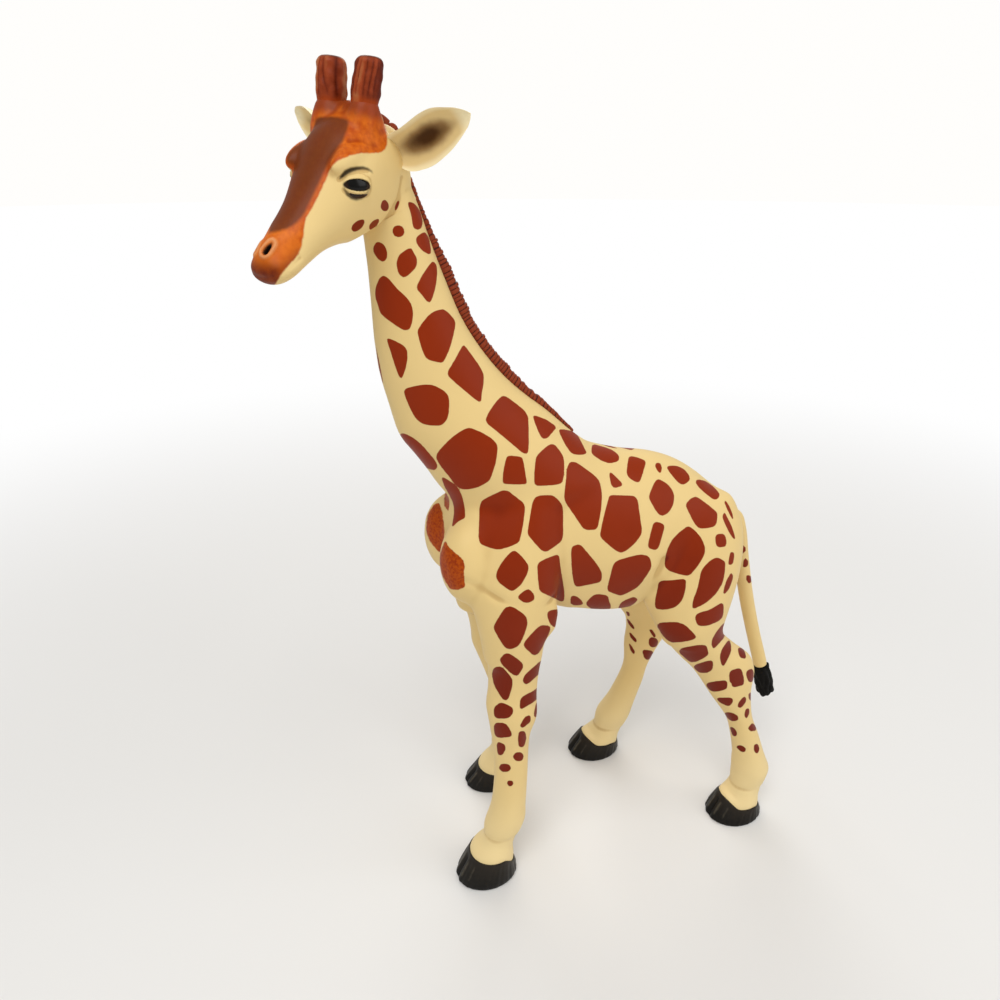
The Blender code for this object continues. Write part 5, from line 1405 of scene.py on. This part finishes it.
rings, tops = [], []
for rib in range(MANE_RIBS):
    tall, lean, wide = 0.9 + 0.2 * luck.random(), (luck.random() - 0.5) * 0.5, 0.94 + 0.12 * luck.random()
    for part, crest in MANE_RIB:
        place = (pitch[rib] + (pitch[rib + 1] - pitch[rib]) * part) * length[-1]
        run = on_route(place + 0.4) - on_route(place - 0.4)
        run /= np.linalg.norm(run)
        out = np.cross((1, 0, 0), run)
        done = place / length[-1]
        flat = 1 - ramp(done, 0.08, 0.14)
        tall, lean, crest = tall + (1 - tall) * flat, lean * (1 - flat), crest + (0.98 - crest) * flat
        stand, breadth = (np.interp(done, MANE_PLACES, values) for values in (MANE_STAND, MANE_BREADTH))
        proud = MANE_PROUD * tall * crest * min(stand, 0.30 + (1 - done) / 0.22)
        half = MANE_WIDTH / 2 * (0.50 + 0.50 * crest) * wide * breadth * min(1, 0.5 + (1 - done) / 0.2)
        ring = []
        for across, high, _ in MANE_SECTION:
            rise = high * proud if high > 0 else high * MANE_ROOT
            aside = np.array((across * half, 0, 0)) + run * lean * across * 0.35
            ring.append(on_route(place) + out * rise + aside)
        rings.append(ring)
        tops.append([ramp(crest, 0.84, 0.98) * share for _, _, share in MANE_SECTION])
# Painted shade: the grooves between the ribs and the mane's foot are painted near black, the crests red
MANE_GROOVE_SHADE, MANE_RED = (0.060, 0.007, 0.002, 1), (0.250, 0.038, 0.010, 1)
mane_coat = Finish("mane_paint", 0.45)
grime = mane_coat.noise(0.7, 4)
crest = (mane_coat.measure("crest") + (grime - 0.5) * 0.7).over(0.05, 1.0)
mane_coat.colour(mane_coat.mix(crest, MANE_GROOVE_SHADE, MANE_RED))
mane_coat.roughness(0.40 + grime * 0.18)
mane_coat.relief(grime, 0.05)
mane = closed("mane", rings, mane_coat.material)
give(mane, crest=tops)
set_piece(mane, "mane")

# Hooves.
# Each hoof is a cloven shoe of charcoal vinyl on a pin under the leg, with a semi-gloss coat.
# Its wall is ribbed faintly upright, and the top edge runs down from toe to heel.
HOOF_LIP, HOOF_SIDES, CLEFT_DEPTH, RIDGE_HEIGHT = 0.22, 128, 0.085, 0.018
HOOF_ROWS = (
    # height between floor and top edge, share of the way in to the top edge, and swell
    (0.000, 0.00, 0.86), (0.008, 0.00, 0.95), (0.04, 0.01, 1.00), (0.15, 0.10, 1.03), (0.32, 0.27, 1.035),
    (0.50, 0.47, 1.03), (0.68, 0.68, 1.02), (0.85, 0.87, 1.01), (0.95, 0.98, 1.00), (0.99, 1.0, 0.985),
    (1.00, 1.0, 0.955), (0.985, 1.0, 0.90), (0.86, 1.0, 0.70), (0.80, 1.0, 0.35),
)
HOOF_BLACK, HOOF_CLEFT_SHADE = (0.0050, 0.0042, 0.0030, 1), (0.003, 0.003, 0.002, 1)
HOOF_GREY, HOOF_HIGHLIGHT_PALE = (0.020, 0.015, 0.010, 1), (0.10, 0.085, 0.060, 1)
hoof_coat = Finish("hoof_paint", 0.34, 0.2)
grime, streak = hoof_coat.noise(0.8, 4), hoof_coat.noise(3.0, 2)
tone = hoof_coat.mix((hoof_coat.measure("lift") * 0.8 + grime * 0.45).over(0.25, 1.15), HOOF_BLACK, HOOF_GREY)
# The ridges each side of the toe are painted pale: painted highlights
tone = hoof_coat.mix((hoof_coat.measure("ridge") * (0.5 + grime * 0.6)).over(0.35, 1.1), tone, HOOF_HIGHLIGHT_PALE)
# The cleft at the toe is painted darker: painted shade
hoof_coat.colour(hoof_coat.mix((hoof_coat.measure("groove") * 0.8).over(0.1, 0.9), tone, HOOF_CLEFT_SHADE))
hoof_coat.roughness(0.32 + grime * 0.18)
hoof_coat.relief(grime * 0.6 + streak * 0.4, 0.07)
turn = turns(HOOF_SIDES)
from_toe = np.abs(turn - math.pi)
cleft = np.exp(-from_toe ** 2 / 0.008)
ridge = np.exp(-((from_toe - 0.24) / 0.09) ** 2) + 0.8 * np.exp(-((from_toe - 0.62) / 0.07) ** 2)
ribs = 0.006 * np.sin(turn * 31) + 0.006 * np.sin(turn * 17 + 1)
for leg in legs:
    rim = leg.rim(HOOF_SIDES)
    outward = (rim - rim.mean(axis=0))[:, :2]
    rim[:, :2] += HOOF_LIP * outward / np.linalg.norm(outward, axis=1)[:, None]
    centre = np.array((leg.foot_x, leg.foot_y + HOOF_LENGTH * (0.5 - HOOF_TOE)))
    sole = centre + np.column_stack((np.sin(turn) * HOOF_WIDTH / 2, np.cos(turn) * HOOF_LENGTH / 2))
    rings, lifts, grooves, ridges = [], [], [], []
    for up, way, swell in spread(HOOF_ROWS, 48):
        edge = sole + (rim[:, :2] - sole) * way
        inside = edge.mean(axis=0)
        wear = (1 - ramp(up, 0.70, 1.0)) * ramp(up, 0.0, 0.08)
        size = swell + wear * (ribs + RIDGE_HEIGHT * ridge - CLEFT_DEPTH * cleft)
        rings.append(np.column_stack((inside + (edge - inside) * size[:, None], max(up, 0) * rim[:, 2])))
        lifts.append(np.full(HOOF_SIDES, up))
        grooves.append(cleft * (1 - ramp(up, 0.80, 1.0)))
        ridges.append(ridge * ramp(up, 0.10, 0.35) * (1 - ramp(up, 0.75, 0.98)))
    hoof = closed("hoof_" + leg.name, rings, hoof_coat.material)
    give(hoof, lift=lifts, groove=grooves, ridge=ridges)
    set_piece(hoof, "hoof_" + leg.name)

# Tail.
# The tail is a thin bent rod of cream vinyl, pegged into the rump, with small painted marks
# and a black ragged tuft pushed on over a pin at its end.
TAIL_RADIUS, TAIL_DROP, TAIL_SWING = 1.60, 43.4, 15.2
TAIL_ROOT = np.array((0, trunk_along(1.0), BELLY_HEIGHT + TRUNK_DEPTH * 0.36))
TAIL_ROWS = (
    # back, down, radius
    (-0.24, 0.00, 0.75),
    (0.00, 0.00, 0.98),
    (0.12, 0.09, 1.08),
    (0.25, 0.27, 1.05),
    (0.45, 0.52, 1.02),
    (0.68, 0.76, 1.00),
    (0.88, 0.95, 1.02),
    (0.93, 1.00, 1.00),
)
TAIL_MARKS = (
    (635, 0, 662, 0, 660, 30, 645, 40, 635, 20),
    (650, 90, 665, 85, 680, 100, 682, 125, 660, 130),
)
TAIL_ROOT_MARKS = (
    (1245, 860, 1255, 880, 1240, 930, 1222, 925),
    (1265, 940, 1272, 960, 1250, 1020, 1235, 1025),
    (1285, 1020, 1315, 1050, 1310, 1065, 1275, 1095),
    (1310, 1115, 1330, 1150, 1320, 1180, 1290, 1180, 1300, 1130),
    (1330, 1235, 1350, 1250, 1350, 1290, 1330, 1290, 1315, 1265),
)
tail_rows = spread(TAIL_ROWS, 80)
tail_route = np.array([TAIL_ROOT + (0, TAIL_SWING * back, -TAIL_DROP * down) for back, down, _ in tail_rows])
tail_runs = np.gradient(tail_route, axis=0)
tail_runs /= np.linalg.norm(tail_runs, axis=1)[:, None]
rings = []
for place, run, (_, _, radius) in zip(tail_route, tail_runs, tail_rows):
    reach = np.cross((1, 0, 0), run) * TAIL_RADIUS * radius
    rings.append(egg_ring(place, (TAIL_RADIUS * radius, 0, 0), reach, -reach, 40))
tail = closed("tail", rings, vinyl.material)
points = np.vstack([*rings, rings[0].mean(axis=0), rings[-1].mean(axis=0)])
spots = seen_at(points * to_left(points))
marks = np.maximum(painted(spots, HIND_VIEW, TAIL_MARKS), painted(spots, FLANK_VIEW, TAIL_ROOT_MARKS))
plain = np.zeros(len(points))
give(tail, patch_depth=marks, breast_depth=plain - PATCH_REACH, hollow=plain, height=points[:, 2])
set_piece(tail, "tail")

# Tail tuft.
# A ragged tuft of stiff locks, moulded in one and painted matt black; it hangs from the tail's
# pin and has a clear step at its top.
TUFT_LENGTH, TUFT_RADIUS, TUFT_GAP, TUFT_SIDES = 10.0, 2.10, 0.3, 84
TUFT_ROWS = (
    # down, radius
    (0.00, 0.50), (0.012, 0.84), (0.05, 0.98), (0.30, 1.03),
    (0.60, 1.06), (0.86, 1.04), (0.96, 0.90), (1.00, 0.55),
)
TUFT_BLACK, TUFT_GREY = (0.003, 0.003, 0.003, 1), (0.010, 0.009, 0.008, 1)
tuft_coat = Finish("tuft_paint", 0.66, 0.06)
grime = tuft_coat.noise(0.6, 4)
tuft_coat.colour(tuft_coat.mix(grime, TUFT_BLACK, TUFT_GREY))
tuft_coat.roughness(0.52 + grime * 0.2)
tuft_coat.relief(grime, 0.12)
run, turn = tail_runs[-1], turns(TUFT_SIDES)
across = np.sin(turn)[:, None] * np.array((1, 0, 0)) + np.cos(turn)[:, None] * np.cross((1, 0, 0), run)
rings = []
for down, radius in spread(TUFT_ROWS, 50):
    locks = 0.10 * np.abs(np.sin(turn * 4.5 + 1.4 * math.sin(down * 5))) + 0.06 * np.sin(turn * 7 + down * 9)
    size = TUFT_RADIUS * radius * (0.90 + locks)
    fray = 0.30 * ramp(down, 0.5, 1.0) * (np.sin(turn * 3 + 0.6) + 0.5 * np.sin(turn * 8))
    fray = fray + 0.3 * np.cos(turn) * (1 - ramp(down, 0, 0.4))
    spot = tail_route[-1] + run * TUFT_GAP + run * (TUFT_LENGTH * down + fray[:, None])
    rings.append(spot + across * size[:, None])
set_piece(closed("tail_tuft", rings, tuft_coat.material), "tail_tuft")

# Studio.
# A plain pale floor that fades to white, three soft boxes and a white surround, and the camera
# where the photograph was taken from.
FLOOR_REACH, FLOOR_SIDES, FLOOR_TONE = 3.0, 64, (0.80, 0.79, 0.77, 1)
FADE_START, FADE_END, AIM_HEIGHT = 0.12, 0.42, 0.08
SURROUND, SURROUND_TONE = 0.42, (1.0, 0.99, 0.97, 1)
SENSOR = 36.0
floor_data = bpy.data.meshes.new("floor")
ring = [(math.cos(turn) * FLOOR_REACH, math.sin(turn) * FLOOR_REACH, 0) for turn in turns(FLOOR_SIDES)]
floor_data.from_pydata(ring, [], [tuple(range(FLOOR_SIDES))])
floor = bpy.data.objects.new("floor", floor_data)
bpy.context.scene.collection.objects.link(floor)
matt = Finish("floor_paper", 0.9)
matt.shader.inputs["Base Color"].default_value = FLOOR_TONE
camera_ray = matt.value("ShaderNodeLightPath", {}, {}, "Is Camera Ray")
away = matt.value("ShaderNodeVectorMath", {"operation": "LENGTH"}, {0: matt.place}, "Value")
white = matt.node("ShaderNodeEmission", {}, {"Color": (1, 1, 1, 1), "Strength": 1.0})
fade = camera_ray * away.over(FADE_START, FADE_END)
blend = matt.node("ShaderNodeMixShader", {}, {0: fade, 1: matt.shader.outputs[0], 2: white.outputs[0]})
matt.tree.links.new(blend.outputs[0], matt.tree.nodes["Material Output"].inputs["Surface"])
floor_data.materials.append(matt.material)


class Surround(Finish):
    """The pale room round the figure: white to the camera, and dimmer as a light."""

    def __init__(self, name):
        world = bpy.data.worlds.new(name)
        world.use_nodes = True
        bpy.context.scene.world = world
        self.tree = world.node_tree
        background = self.tree.nodes["Background"]
        background.inputs["Color"].default_value = SURROUND_TONE
        camera_ray = self.value("ShaderNodeLightPath", {}, {}, "Is Camera Ray")
        strength = camera_ray * (1 - SURROUND) + SURROUND
        self.tree.links.new(strength.socket, background.inputs["Strength"])


Surround("surround")


def soft_box(name, place, size, power):
    """A square soft light aimed at the middle of the figure."""
    lamp = bpy.data.lights.new(name, "AREA")
    lamp.size, lamp.energy = size, power
    item = bpy.data.objects.new(name, lamp)
    item.location = place
    aim = mathutils.Vector((0, 0, AIM_HEIGHT)) - item.location
    item.rotation_euler = aim.to_track_quat("-Z", "Y").to_euler()
    bpy.context.scene.collection.objects.link(item)


soft_box("key", (0.30, -0.20, 0.60), 0.40, 2.2)
soft_box("fill", (0.35, 0.45, 0.35), 0.50, 1.2)
soft_box("rim", (-0.45, 0.10, 0.45), 0.40, 1.2)

lens = bpy.data.cameras.new("camera")
lens.sensor_width = SENSOR
lens.lens = PHOTO_REACH / PHOTO_FRAME * SENSOR
lens.clip_start, lens.clip_end = 0.01, 10.0
camera = bpy.data.objects.new("camera", lens)
axes = (PHOTO_RIGHT, -PHOTO_DOWN, -PHOTO_AHEAD)
rows = [(*[axis[row] for axis in axes], PHOTO_PLACE[row] * MM) for row in range(3)]
camera.matrix_world = mathutils.Matrix([*rows, (0, 0, 0, 1)])
bpy.context.scene.collection.objects.link(camera)
bpy.context.scene.camera = camera
bpy.context.scene.view_settings.view_transform = "Standard"
